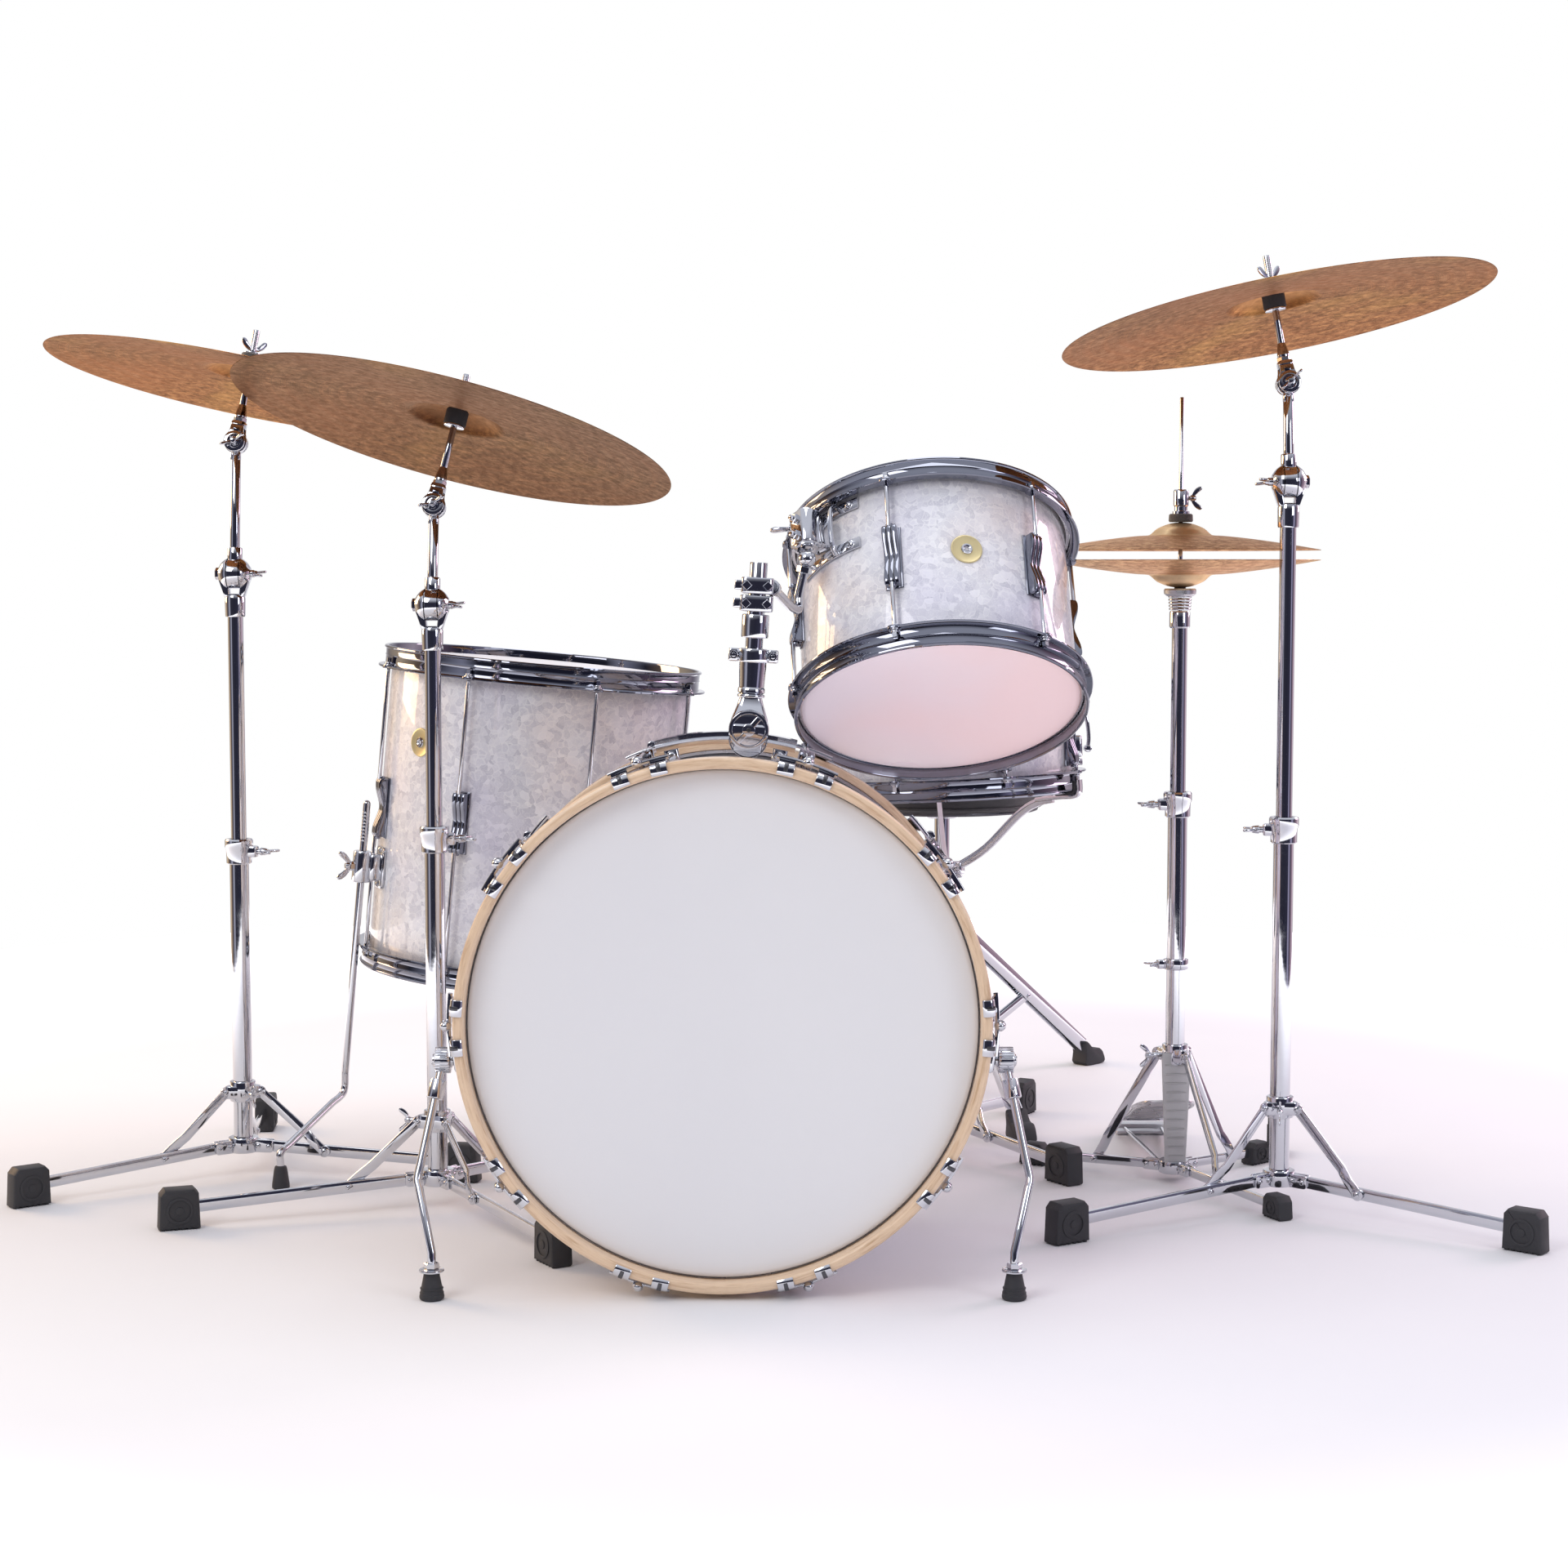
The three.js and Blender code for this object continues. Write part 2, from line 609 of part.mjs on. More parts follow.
function buildCymbalStand(kit, spec) {
  const frame = group(kit, [...spec.at, 0]);
  piece(frame, `${spec.name}_stand_base`, tripod(spec), chrome);

  const { gap, outer, radius, web, base, drop } = headstock;
  const upper = spec.ball - drop;
  const cheeks = [-1, 1].map((side) => rod([side * gap, 0, 0], [side * outer, 0, 0], radius, 12));
  const webs = [-1, 1].map((side) => block(...web, [(side * (gap + outer)) / 2, 0, -18]));
  const fork = join(...cheeks, ...webs, block(...base, [0, 0, -drop])).translate(0, 0, spec.ball);
  const low = spec.clamp - insert;
  const pipe = cut(disc(tube.inner, low, upper), disc(8.2, low - 5, upper - 40));
  piece(frame, `${spec.name}_stand_tube`, join(pipe, disc(14, upper - 16, upper, 8), fork), chrome);

  const boom = group(frame, [0, 0, spec.ball], [-spec.leanBack, 0, 0]);
  const length = (spec.tilter - spec.ball) / Math.cos(THREE.MathUtils.degToRad(spec.leanBack));
  const wheel = rod([-boomRod.wheelHalf, 0, 0], [boomRod.wheelHalf, 0, 0], boomRod.wheel, 12);
  const eye = rod([0, -boomRod.eyeHalf, length], [0, boomRod.eyeHalf, length], boomRod.eye, 12);
  const shaft = rod([0, 0, 10], [0, 0, length - 14.3], boomRod.radius);
  piece(boom, `${spec.name}_boom`, join(wheel, shaft, eye), chrome);

  const tilter = group(boom, [0, 0, length], [0, spec.roll, 0]);
  const jawAt = boomRod.eyeHalf + GAP + jaw.thick / 2;
  const jaws = [-1, 1].map((side) => block(jaw.long, jaw.thick, jaw.tall, [0, side * jawAt, jaw.z]));
  const bridge = block(jaw.long, 2 * jawAt + jaw.thick, 12, [0, 0, 26]);
  const seatTop = spec.rise - felt.gap;
  const seat = [
    disc(4.5, 30, spec.rise + 44),
    disc(felt.radius, seatTop - 18, seatTop, 10),
    disc(6, seatTop - 1, spec.rise + 12),
    disc(felt.radius, spec.rise + bronzeThick + felt.gap, spec.rise + 12, 10),
    block(wing.span, wing.thick, wing.tall, [0, 0, spec.rise + 26]),
  ];
  piece(tilter, `${spec.name}_tilter`, join(...jaws, bridge, ...seat), chrome);

  const plate = cymbalBody(spec.cymbal, domeHeight).translate(0, 0, spec.rise);
  piece(tilter, `${spec.name}_cymbal`, plate, bronze);
}

function buildSnareStand(kit) {
  const frame = group(kit, [...snareStand.at, 0]);
  piece(frame, "snare_stand_base", tripod(snareStand), chrome);
  const pipe = disc(tube.inner, snareStand.tubeLow, snareStand.top);
  piece(frame, "snare_stand_tube", pipe, chrome);
}

// ---------------------------------------------------------------- hi-hat
function buildHat(kit) {
  const frame = group(kit, [...hat.at, 0]);
  const outline = new THREE.Shape([
    new THREE.Vector2(-shield.top, hat.collar - 4),
    new THREE.Vector2(-shield.bottom, hat.hub),
    new THREE.Vector2(shield.bottom, hat.hub),
    new THREE.Vector2(shield.top, hat.collar - 4),
  ]);
  const plate = new THREE.ExtrudeGeometry(outline, { depth: shield.thick, bevelEnabled: false })
    .rotateX(Math.PI / 2)
    .translate(0, -shield.front, 0);
  const { heel, toe, heelZ, toeZ, wide, thick, stay } = hatPedal;
  const heelPlate = block(wide, 46, 12, [0, heel + 12, 6]);
  const stays = [-1, 1].map((side) => rod([side * 14, 8, hat.hub], [side * 26, heel, 7], stay, 6));
  piece(frame, "hat_stand_base", join(tripod(hat), plate, heelPlate, ...stays), chrome);

  const column = cut(
    join(
      disc(tube.inner, hat.clamp - 150, hat.tubeTop),
      disc(16, hat.tubeTop - 20, hat.tubeTop, 10),
      disc(11, hat.tubeTop, hat.seat - 12, 10),
      disc(21, hat.seat - 13, hat.seat - 3, 10),
      disc(7.5, hat.seat - 4, hat.seat + 8),
    ),
    disc(hat.bore, hat.clamp - 155, hat.seat + 12),
  );
  piece(frame, "hat_tube", column, chrome);

  const lower = cymbalBody(hat.radius, hat.dome).rotateX(Math.PI).translate(0, 0, hat.rim - hat.dome);
  piece(frame, "hat_bottom_cymbal", lower, bronze);
  const bell = hat.rim + hat.open + hat.dome;
  const upper = cymbalBody(hat.radius, hat.dome).translate(0, 0, bell);
  piece(frame, "hat_top_cymbal", upper, bronze);
  const rodAndClutch = join(
    disc(hat.rod, hat.rodLow, hat.rodTop, 6),
    disc(12, bell - 12, bell - 2.4),
    disc(7, bell - 6, bell + 42),
    disc(16, bell + bronzeThick + GAP, bell + 13, 10),
    block(26, 6, 18, [15, 0, bell + 30]),
  );
  piece(frame, "hat_rod", rodAndClutch, chrome);
  piece(frame, "hat_footboard", bar([0, heel, heelZ], [0, toe, toeZ], thick, wide), steelPlate);
}

// ---------------------------------------------------------------- kick pedal and throne
function buildKickPedal(kit) {
  const frame = group(kit, [bass.x, 0, 0]);
  const half = kick.width / 2;
  const tall = kick.axle + 14;
  const sides = [-1, 1];
  const parts = [
    block(kick.width, 60, 8, [0, kick.y, 4]),
    block(90, 46, 12, [0, kick.heel + 16, 6]),
    ...sides.map((side) => block(kick.post, 24, tall, [side * (half - kick.post / 2), kick.y, tall / 2])),
    ...sides.map((side) => rod([side * 30, kick.y + 20, 4], [side * 30, kick.heel, 5], 3, 6)),
  ];
  piece(frame, "kick_pedal_frame", join(...parts), chrome);
  const { heelZ, toeZ, wide, thick } = kickBoard;
  const board = bar([0, kick.heel, heelZ], [0, kick.toe, toeZ], thick, wide);
  piece(frame, "kick_footboard", board, steelPlate);

  const swing = group(frame, [0, kick.y, kick.axle], [-kick.back, 0, 0]);
  const inner = half - kick.post - GAP;
  const hammer = join(
    rod([-inner, 0, 0], [inner, 0, 0], beater.axle),
    rod([-6, 0, 0], [6, 0, 0], beater.cam, 12),
    disc(beater.shaft, 0, kick.shaft),
    rod([0, -beater.half, kick.shaft], [0, beater.half, kick.shaft], beater.radius, 12),
  );
  piece(swing, "kick_beater", hammer, rubber);
}

function buildThrone(kit) {
  const frame = group(kit, [...throne.at, 0]);
  const { collar, reach, outer, bore, tubeTop } = throne;
  const parts = [
    cut(disc(outer, 40, tubeTop), disc(bore, 60, tubeTop + 5)),
    ring(bore, 22, tubeTop - 26, tubeTop, 8),
    ring(outer - 1.5, 23, collar - 12, collar + 12, 8),
    ring(outer - 1.5, 22, 44, 62, 8),
  ];
  for (const angle of throne.legs) {
    const leg = bar([19, 0, collar], [reach - 8, 0, 22], 24, 7);
    const prop = bar([17, 0, 53], [reach * 0.55, 0, 128], 14, 5);
    const shoe = block(44, 32, 26, [reach, 0, 13]);
    parts.push(turnedTo(join(leg, prop, shoe), angle));
  }
  piece(frame, "throne_base", join(...parts), chrome);
  const { seat, low } = throne;
  const cushion = turned([
    [0, low],
    [seat - 12, low],
    [seat, low + 16],
    [seat, low + 62],
    [seat - 16, low + 82],
    [0, low + 90],
  ]);
  const seatPost = disc(throne.post, tubeTop - 150, low + 5);
  const seatPlate = disc(throne.plate, low - 12, low + 2, 12);
  piece(frame, "throne_seat", join(cushion, seatPost, seatPlate), vinyl);
}

function buildKit() {
  const kit = new THREE.Group();
  buildBassDrum(kit);
  buildSpurs(kit);
  buildRackTom(kit);
  buildRail(kit);
  buildTomMount(kit);
  buildFloorTom(kit);
  buildSnare(kit);
  buildSnareStand(kit);
  buildHat(kit);
  stands.forEach((spec) => buildCymbalStand(kit, spec));
  buildKickPedal(kit);
  buildThrone(kit);

  // The origin is under the middle of the kit, on the floor.
  const box = new THREE.Box3().setFromObject(kit, true);
  const middle = box.getCenter(new THREE.Vector3());
  kit.position.set(-middle.x, -middle.y, -box.min.z);
  return kit;
}

export default buildKit();
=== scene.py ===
import json
import math
from types import SimpleNamespace

import bmesh
import bpy
from mathutils import Matrix, Vector


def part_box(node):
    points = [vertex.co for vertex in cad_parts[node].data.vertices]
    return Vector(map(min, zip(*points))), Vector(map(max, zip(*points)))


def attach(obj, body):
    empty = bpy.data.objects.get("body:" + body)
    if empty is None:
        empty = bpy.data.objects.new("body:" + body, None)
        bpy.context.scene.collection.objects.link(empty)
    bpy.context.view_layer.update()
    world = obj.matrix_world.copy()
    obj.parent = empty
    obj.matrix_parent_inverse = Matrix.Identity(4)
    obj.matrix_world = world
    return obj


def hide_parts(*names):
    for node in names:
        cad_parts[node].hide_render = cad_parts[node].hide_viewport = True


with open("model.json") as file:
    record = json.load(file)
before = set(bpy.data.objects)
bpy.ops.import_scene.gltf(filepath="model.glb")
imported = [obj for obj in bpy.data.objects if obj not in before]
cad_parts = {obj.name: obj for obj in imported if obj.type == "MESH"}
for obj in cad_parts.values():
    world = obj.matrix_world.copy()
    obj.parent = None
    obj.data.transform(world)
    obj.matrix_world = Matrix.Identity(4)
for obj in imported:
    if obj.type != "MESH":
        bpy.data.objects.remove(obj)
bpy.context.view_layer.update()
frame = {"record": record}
behaviour = frame["record"]["behaviour"]
joints = {joint["name"]: joint for joint in behaviour["joints"]}
body_of = {node: body for body, members in behaviour["bodies"].items() for node in members}

MM = 0.001
INCH = 25.4
SHARP = math.radians(34)
ACROSS = Vector((1, 0, 0))
BACK = Vector((0, 1, 0))
UP = Vector((0, 0, 1))


# ---------------------------------------------------------------- places
def move(x=0.0, y=0.0, z=0.0):
    return Matrix.Translation((x, y, z))


def turn(degrees, axis="Z"):
    return Matrix.Rotation(math.radians(degrees), 4, axis)


def facing_side(side):
    """Nothing for the upper side, and upside down for the lower one."""
    return Matrix.Identity(4) if side > 0 else turn(180, "X")


def polar(radius, degrees, z=0.0):
    angle = math.radians(degrees)
    return Vector((radius * math.cos(angle), radius * math.sin(angle), z))


def standing(origin, z_axis=UP, x_axis=ACROSS):
    """A frame at origin whose Z runs along z_axis and whose X is as near x_axis as it can be."""
    z = Vector(z_axis).normalized()
    x = (Vector(x_axis) - z * z.dot(Vector(x_axis))).normalized()
    place = Matrix((x, z.cross(x), z)).transposed().to_4x4()
    place.translation = Vector(origin)
    return place


def joint_at(name):
    return Vector(joints[name]["pos_m"])


def joint_axis(name):
    return Vector(joints[name]["axis"])


def on_floor(point):
    return Vector((point[0], point[1], 0))


# ---------------------------------------------------------------- outlines
def arc(radius, start, end, steps, centre=(0, 0)):
    angles = [math.radians(start + (end - start) * i / steps) for i in range(steps + 1)]
    return [(centre[0] + radius * math.cos(a), centre[1] + radius * math.sin(a)) for a in angles]


def rounded(x, y, corner, steps=3):
    """A rectangle x by y about the origin with rounded corners."""
    outline = []
    for quarter, (side_x, side_y) in enumerate([(1, 1), (-1, 1), (-1, -1), (1, -1)]):
        centre = (side_x * (x / 2 - corner), side_y * (y / 2 - corner))
        outline += arc(corner, quarter * 90, quarter * 90 + 90, steps, centre)
    return outline


def smooth(points, steps=5, closed=False):
    """A smooth curve through the points."""
    points = [Vector(p) for p in points]
    count = len(points)
    curve = []
    for i in range(count if closed else count - 1):
        picked = [i - 1, i, i + 1, i + 2]
        index = [k % count if closed else min(max(k, 0), count - 1) for k in picked]
        a, b, c, d = (points[k] for k in index)
        for step in range(steps):
            t = step / steps
            squared = 2 * a - 5 * b + 4 * c - d
            cubed = 3 * b - a - 3 * c + d
            curve.append(0.5 * (2 * b + (c - a) * t + squared * t**2 + cubed * t**3))
    if not closed:
        curve.append(points[-1])
    return curve


def flat_curve(points, steps, closed=False):
    """A smooth curve through [x, y] points, again as [x, y] points."""
    return [(p.x, p.y) for p in smooth([(*p, 0) for p in points], steps, closed)]


def both_ends(upper):
    """A profile's points, then the same ones mirrored in Y = 0 and in reverse order."""
    return upper + [(x, -y) for x, y in reversed(upper)]


def shrink(outline, amount):
    """The outline moved inwards by amount."""
    count = len(outline)
    area = sum(outline[i - 1][0] * outline[i][1] - outline[i][0] * outline[i - 1][1] for i in range(count))
    side = 1 if area > 0 else -1
    made = []
    for i, point in enumerate(outline):
        here = Vector(point).to_2d()
        ways = [here - Vector(outline[i - 1]).to_2d(), Vector(outline[(i + 1) % count]).to_2d() - here]
        normals = [Vector((-way.y, way.x)).normalized() * side for way in ways]
        total = normals[0] + normals[1]
        reach = amount * min(2 / max(total.length_squared, 1e-6), 1.4)
        made.append(tuple(here + total * reach))
    return made


# ---------------------------------------------------------------- meshes
class Shape:
    """One piece's mesh in millimetres, added to part by part, each part with its own material."""

    def __init__(self):
        self.verts = []
        self.faces = []
        self.names = []

    def add(self, verts, faces, material, place=None):
        start = len(self.verts)
        place = place or Matrix.Identity(4)
        self.verts.extend(place @ Vector(v) for v in verts)
        self.faces.extend(tuple(start + i for i in face) for face in faces)
        self.names.extend([material] * len(faces))

    def rings(self, loops, material, place=None, joined=False):
        """Skins a row of loops that have the same number of points."""
        size = len(loops[0])
        verts = [v for loop in loops for v in loop]
        faces = []
        for i in range(len(loops) if joined else len(loops) - 1):
            here, there = i * size, (i + 1) % len(loops) * size
            for j in range(size):
                k = (j + 1) % size
                faces.append((here + j, here + k, there + k, there + j))
        if not joined:
            faces.append(tuple(reversed(range(size))))
            faces.append(tuple(range(len(verts) - size, len(verts))))
        self.add(verts, faces, material, place)

    def lathe(self, profile, material, place=None, sides=48):
        """Turns [radius, height] points round Z. A profile off the axis closes on itself."""
        closed = profile[0][0] > 0
        around = [math.tau * i / sides for i in range(sides)]
        if closed:
            loops = [[(r * math.cos(a), r * math.sin(a), z) for a in around] for r, z in profile]
            self.rings(loops, material, place, joined=True)
            return
        inner = profile[1:-1]
        verts = [(r * math.cos(a), r * math.sin(a), z) for r, z in inner for a in around]
        verts += [(0, 0, profile[0][1]), (0, 0, profile[-1][1])]
        faces = []
        for j in range(sides):
            k = (j + 1) % sides
            for i in range(len(inner) - 1):
                here, there = i * sides, (i + 1) * sides
                faces.append((here + j, here + k, there + k, there + j))
            last = (len(inner) - 1) * sides
            faces.append((len(verts) - 2, k, j))
            faces.append((len(verts) - 1, last + j, last + k))
        self.add(verts, faces, material, place)

    def sweep(self, section, path, material, side=None, place=None, joined=False):
        """Carries a section of [across, up] points along a path, mitred at each bend."""
        path = [Vector(p) for p in path]
        count = len(path)
        loops = []
        across = None
        for i, point in enumerate(path):
            before = path[i - 1] if i or joined else None
            after = path[(i + 1) % count] if i < count - 1 or joined else None
            ways = [(point - before).normalized()] if before is not None else []
            ways += [(after - point).normalized()] if after is not None else []
            along = sum(ways, Vector()).normalized()
            guide = side or across or (ACROSS if abs(along.x) < 0.9 else BACK)
            across = (guide - along * guide.dot(along)).normalized()
            up = along.cross(across)
            bend = ways[-1] - ways[0]
            bend = bend.normalized() if bend.length > 1e-4 else None
            stretch = 1 / max(along.dot(ways[0]), 0.5) - 1
            loop = []
            for a, u in section:
                offset = across * a + up * u
                if bend is not None:
                    offset += bend * offset.dot(bend) * stretch
                loop.append(point + offset)
            loops.append(loop)
        self.rings(loops, material, place, joined=joined)

    def tube(self, path, radius, material, place=None, sides=14, joined=False):
        section = arc(radius, 0, 360 * (sides - 1) / sides, sides - 1)
        self.sweep(section, path, material, place=place, joined=joined)

    def plate(self, outline, low, high, edge, material, place=None):
        """An outline in XY given thickness along Z, with its edges eased."""
        eased = shrink(outline, edge)
        half = shrink(outline, edge * 0.3)
        layers = [
            (eased, low),
            (half, low + edge * 0.3),
            (outline, low + edge),
            (outline, high - edge),
            (half, high - edge * 0.3),
            (eased, high),
        ]
        loops = [[(p[0], p[1], z) for p in loop] for loop, z in layers]
        self.rings(loops, material, place)

    def brick(self, x, y, z, edge, material, place=None):
        self.plate(rounded(x, y, edge * 1.5), -z / 2, z / 2, edge, material, place)

    def peg(self, radius, low, high, material, place=None, edge=1.0, sides=24):
        """A round pin with eased ends."""
        profile = [
            (0, low),
            (radius - edge, low),
            (radius - edge * 0.3, low + edge * 0.3),
            (radius, low + edge),
            (radius, high - edge),
            (radius - edge * 0.3, high - edge * 0.3),
            (radius - edge, high),
            (0, high),
        ]
        self.lathe(profile, material, place, sides)

    def collar(self, inner, outer, low, high, material, place=None, edge=1.2, sides=40):
        """A round ring with eased edges."""
        profile = [
            (inner, low + edge * 0.5),
            (inner + edge * 0.5, low),
            (outer - edge, low),
            (outer - edge * 0.3, low + edge * 0.3),
            (outer, low + edge),
            (outer, high - edge),
            (outer - edge * 0.3, high - edge * 0.3),
            (outer - edge, high),
            (inner + edge * 0.5, high),
            (inner, high - edge * 0.5),
        ]
        self.lathe(profile, material, place, sides)

    def ball(self, radius, material, place=None, sides=28):
        points = arc(radius, -90, 90, sides // 2)
        points[0] = (0, -radius)
        points[-1] = (0, radius)
        self.lathe(points, material, place, sides)

    def nut(self, radius, low, high, material, place=None, corners=6):
        """A hexagonal or square nut, with its corners rounded off at both ends."""
        ease = radius * 0.12
        profile = [(0, low), (radius - ease, low), (radius, low + ease), (radius, high - ease)]
        self.lathe(profile + [(radius - ease, high), (0, high)], material, place, corners)

    def bolt(self, radius, height, material, place=None):
        """A domed, slotted head sitting on a washer, facing +Z."""
        self.peg(radius * 1.25, 0, height * 0.3, material, place, edge=height * 0.1)
        dome = [(0, height * 0.2), (radius, height * 0.2), (radius * 0.97, height * 0.7)]
        dome += [(radius * 0.7, height * 0.95), (radius * 0.3, height), (0, height)]
        self.lathe(dome, material, place, 20)
        # The slot is not cut: a dark bar laid on the dome is painted shade.
        slot = (place or Matrix.Identity(4)) @ turn(35) @ move(z=height * 0.93)
        self.brick(radius * 1.5, radius * 0.26, height * 0.2, height * 0.05, "dark_steel", slot)

    def wing_nut(self, material, place, span=22.0):
        """A wing nut on a screw that points along +Z, with its two wings along X."""
        unit = span / 22
        barrel = [(0, 0), (5.5, 0), (6, 1), (5.2, 8), (4, 10.5), (0, 11)]
        self.lathe([(r * unit, z * unit) for r, z in barrel], material, place, 20)
        wing = [
            (0, 1.5), (6, 2), (12, 5), (18, 10), (22, 17), (20.5, 21.5), (15.5, 21), (10, 14.5), (5, 9.5),
            (0, 9)
        ]
        outline = [(x * unit, y * unit) for x, y in flat_curve(wing, 3, closed=True)]
        for side in (0, 180):
            stood = place @ turn(side) @ turn(90, "X")
            self.plate(outline, -1.9 * unit, 1.9 * unit, 1.1 * unit, material, stood)


def make(name, shape, place, body, slot, *nodes, sharp=SHARP):
    """Makes the piece's object, rides it on its body and puts it in the place of its CAD nodes."""
    mesh = bpy.data.meshes.new(name)
    mesh.from_pydata([v * MM for v in shape.verts], [], shape.faces)
    used = list(dict.fromkeys(shape.names))
    for material in used:
        mesh.materials.append(materials[material])
    mesh.polygons.foreach_set("material_index", [used.index(material) for material in shape.names])
    faces = bmesh.new()
    faces.from_mesh(mesh)
    bmesh.ops.recalc_face_normals(faces, faces=faces.faces)
    faces.to_mesh(mesh)
    faces.free()
    mesh.shade_smooth()
    mesh.set_sharp_from_angle(angle=sharp)
    piece = bpy.data.objects.new(name, mesh)
    bpy.context.scene.collection.objects.link(piece)
    piece.matrix_world = place
    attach(piece, body)
    if nodes:
        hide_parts(*nodes)
    return piece


def stand_in(node, shape, place, slot="chrome"):
    """The fine piece that one CAD node is shown as."""
    return make("fine_" + node, shape, place, body_of[node], slot, node)


# ---------------------------------------------------------------- materials
def node_helpers(tree):
    """Two functions for one node tree: node makes any node, and ramp makes a colour ramp."""

    def node(kind, inputs=None, out=0, **options):
        made = tree.nodes.new("ShaderNode" + kind)
        for key, value in options.items():
            setattr(made, key, value)
        for socket, value in (inputs or {}).items():
            if isinstance(value, bpy.types.NodeSocket):
                tree.links.new(value, made.inputs[socket])
            else:
                made.inputs[socket].default_value = value
        return made.outputs[out]

    def ramp(value, stops, smoothly=False):
        made = tree.nodes.new("ShaderNodeValToRGB")
        tree.links.new(value, made.inputs[0])
        made.color_ramp.interpolation = "EASE" if smoothly else "LINEAR"
        elements = made.color_ramp.elements
        while len(elements) < len(stops):
            elements.new(0.5)
        for element, (at, colour) in zip(elements, stops):
            element.position = at
            element.color = (*colour, 1) if isinstance(colour, tuple) else (colour, colour, colour, 1)
        return made.outputs[0]

    return node, ramp


def graph(name, **settings):
    """A new material, its shader, and helpers that add nodes, sums, ramps and links to it."""
    material = bpy.data.materials.new(name)
    material.use_nodes = True
    tree = material.node_tree
    shader = tree.nodes["Principled BSDF"]
    for socket, value in settings.items():
        shader.inputs[socket.replace("_", " ")].default_value = value
    node, ramp = node_helpers(tree)

    def calc(operation, a, b=0.0):
        return node("Math", {0: a, 1: b}, operation=operation)

    def blend(share, a, b, kind="MIX"):
        inputs = {0: share}
        for socket, value in ((6, a), (7, b)):
            inputs[socket] = (*value, 1) if isinstance(value, tuple) else value
        return node("Mix", inputs, out=2, data_type="RGBA", blend_type=kind)

    def link(value, socket):
        tree.links.new(value, shader.inputs[socket])

    def bump(height, strength, distance):
        link(node("Bump", {"Height": height, "Strength": strength, "Distance": distance}), "Normal")

    materials[name] = material
    return SimpleNamespace(node=node, calc=calc, ramp=ramp, blend=blend, link=link, bump=bump)


materials = {}


def round_axis(node, where):
    """A point's three coordinates, and its distance from the piece's Z axis."""
    xyz = [node("SeparateXYZ", {0: where}, out=axis) for axis in range(3)]
    flat = node("CombineXYZ", {0: xyz[0], 1: xyz[1]})
    return xyz, node("VectorMath", {0: flat}, out=1, operation="LENGTH")


def make_pearl():
    """White marine pearl: crumpled flakes of pearl under a clear glossy film, with painted glints in its
    colour.
    """
    paint = graph(
        "pearl", Roughness=0.32, Coat_Weight=1.0, Coat_Roughness=0.02, Coat_IOR=1.5, Metallic=0.0
    )
    where = paint.node("TexCoord", out="Object")
    drift = paint.node("TexNoise", {"Vector": where, "Scale": 55.0, "Detail": 2.0}, out="Color")
    offset = paint.node("VectorMath", {0: drift, 1: (0.5, 0.5, 0.5)}, operation="SUBTRACT")
    pushed = paint.node("VectorMath", {0: offset, 1: (0.016, 0.016, 0.016)}, operation="MULTIPLY")
    bent = paint.node("VectorMath", {0: where, 1: pushed}, operation="ADD")
    flakes = paint.node("TexVoronoi", {"Vector": bent, "Scale": 120.0}, out="Color")
    tone = paint.node("SeparateColor", {0: flakes}, out=0)
    facing = paint.node("SeparateColor", {0: flakes}, out=1)
    creases = paint.node("TexVoronoi", {"Vector": bent, "Scale": 120.0}, out=0, feature="DISTANCE_TO_EDGE")
    folds = paint.node("TexNoise", {"Vector": bent, "Scale": 150.0, "Detail": 2.0, "Distortion": 2.0})
    grey = [
        (0.0, (0.66, 0.66, 0.72)), (0.4, (0.76, 0.76, 0.81)), (0.8, (0.83, 0.83, 0.87)),
        (1.0, (0.93, 0.93, 0.96))
    ]
    body = paint.ramp(tone, grey)
    # Painted glints: white at the edges of flakes that face one way, and along thin folds, mixed into the
    # base colour.
    glint = paint.calc(
        "MULTIPLY", paint.ramp(creases, [(0.0, 1.0), (0.16, 0.0)]),
        paint.ramp(facing, [(0.35, 0.0), (0.75, 1.0)])
    )
    gleam = paint.calc("MAXIMUM", glint, paint.ramp(folds, [(0.52, 0.0), (0.57, 0.8), (0.61, 0.0)]))
    clouds = paint.node("TexNoise", {"Vector": where, "Scale": 6.0, "Detail": 2.0})
    tint = paint.ramp(
        clouds, [(0.32, (0.84, 0.82, 0.96)), (0.50, (1.0, 1.0, 1.0)), (0.68, (1.0, 0.88, 0.80))]
    )
    shiny = paint.blend(paint.calc("MULTIPLY", gleam, 0.8), body, (1.0, 1.0, 1.0))
    paint.link(paint.blend(0.6, shiny, tint, "MULTIPLY"), "Base Color")
    paint.link(paint.ramp(facing, [(0.0, 0.22), (1.0, 0.5)]), "Roughness")
    paint.bump(
        paint.calc("ADD", paint.calc("MULTIPLY", facing, 0.6), paint.calc("MULTIPLY", folds, 0.5)), 0.4,
        0.0008
    )


def make_chrome(name="chrome", colour=(0.64, 0.65, 0.69), rough=0.05):
    paint = graph(name, Metallic=1.0, Roughness=rough)
    where = paint.node("TexCoord", out="Object")
    smear = paint.node("TexNoise", {"Vector": where, "Scale": 35.0, "Detail": 4.0, "Roughness": 0.6})
    shade = tuple(c * 0.93 for c in colour)
    paint.link(paint.blend(smear, shade, colour), "Base Color")
    paint.link(paint.ramp(smear, [(0.35, rough * 0.7), (0.75, rough * 1.9)]), "Roughness")
    ripple = paint.node("TexNoise", {"Vector": where, "Scale": 90.0, "Detail": 1.0})
    paint.bump(ripple, 0.05, 0.0004)


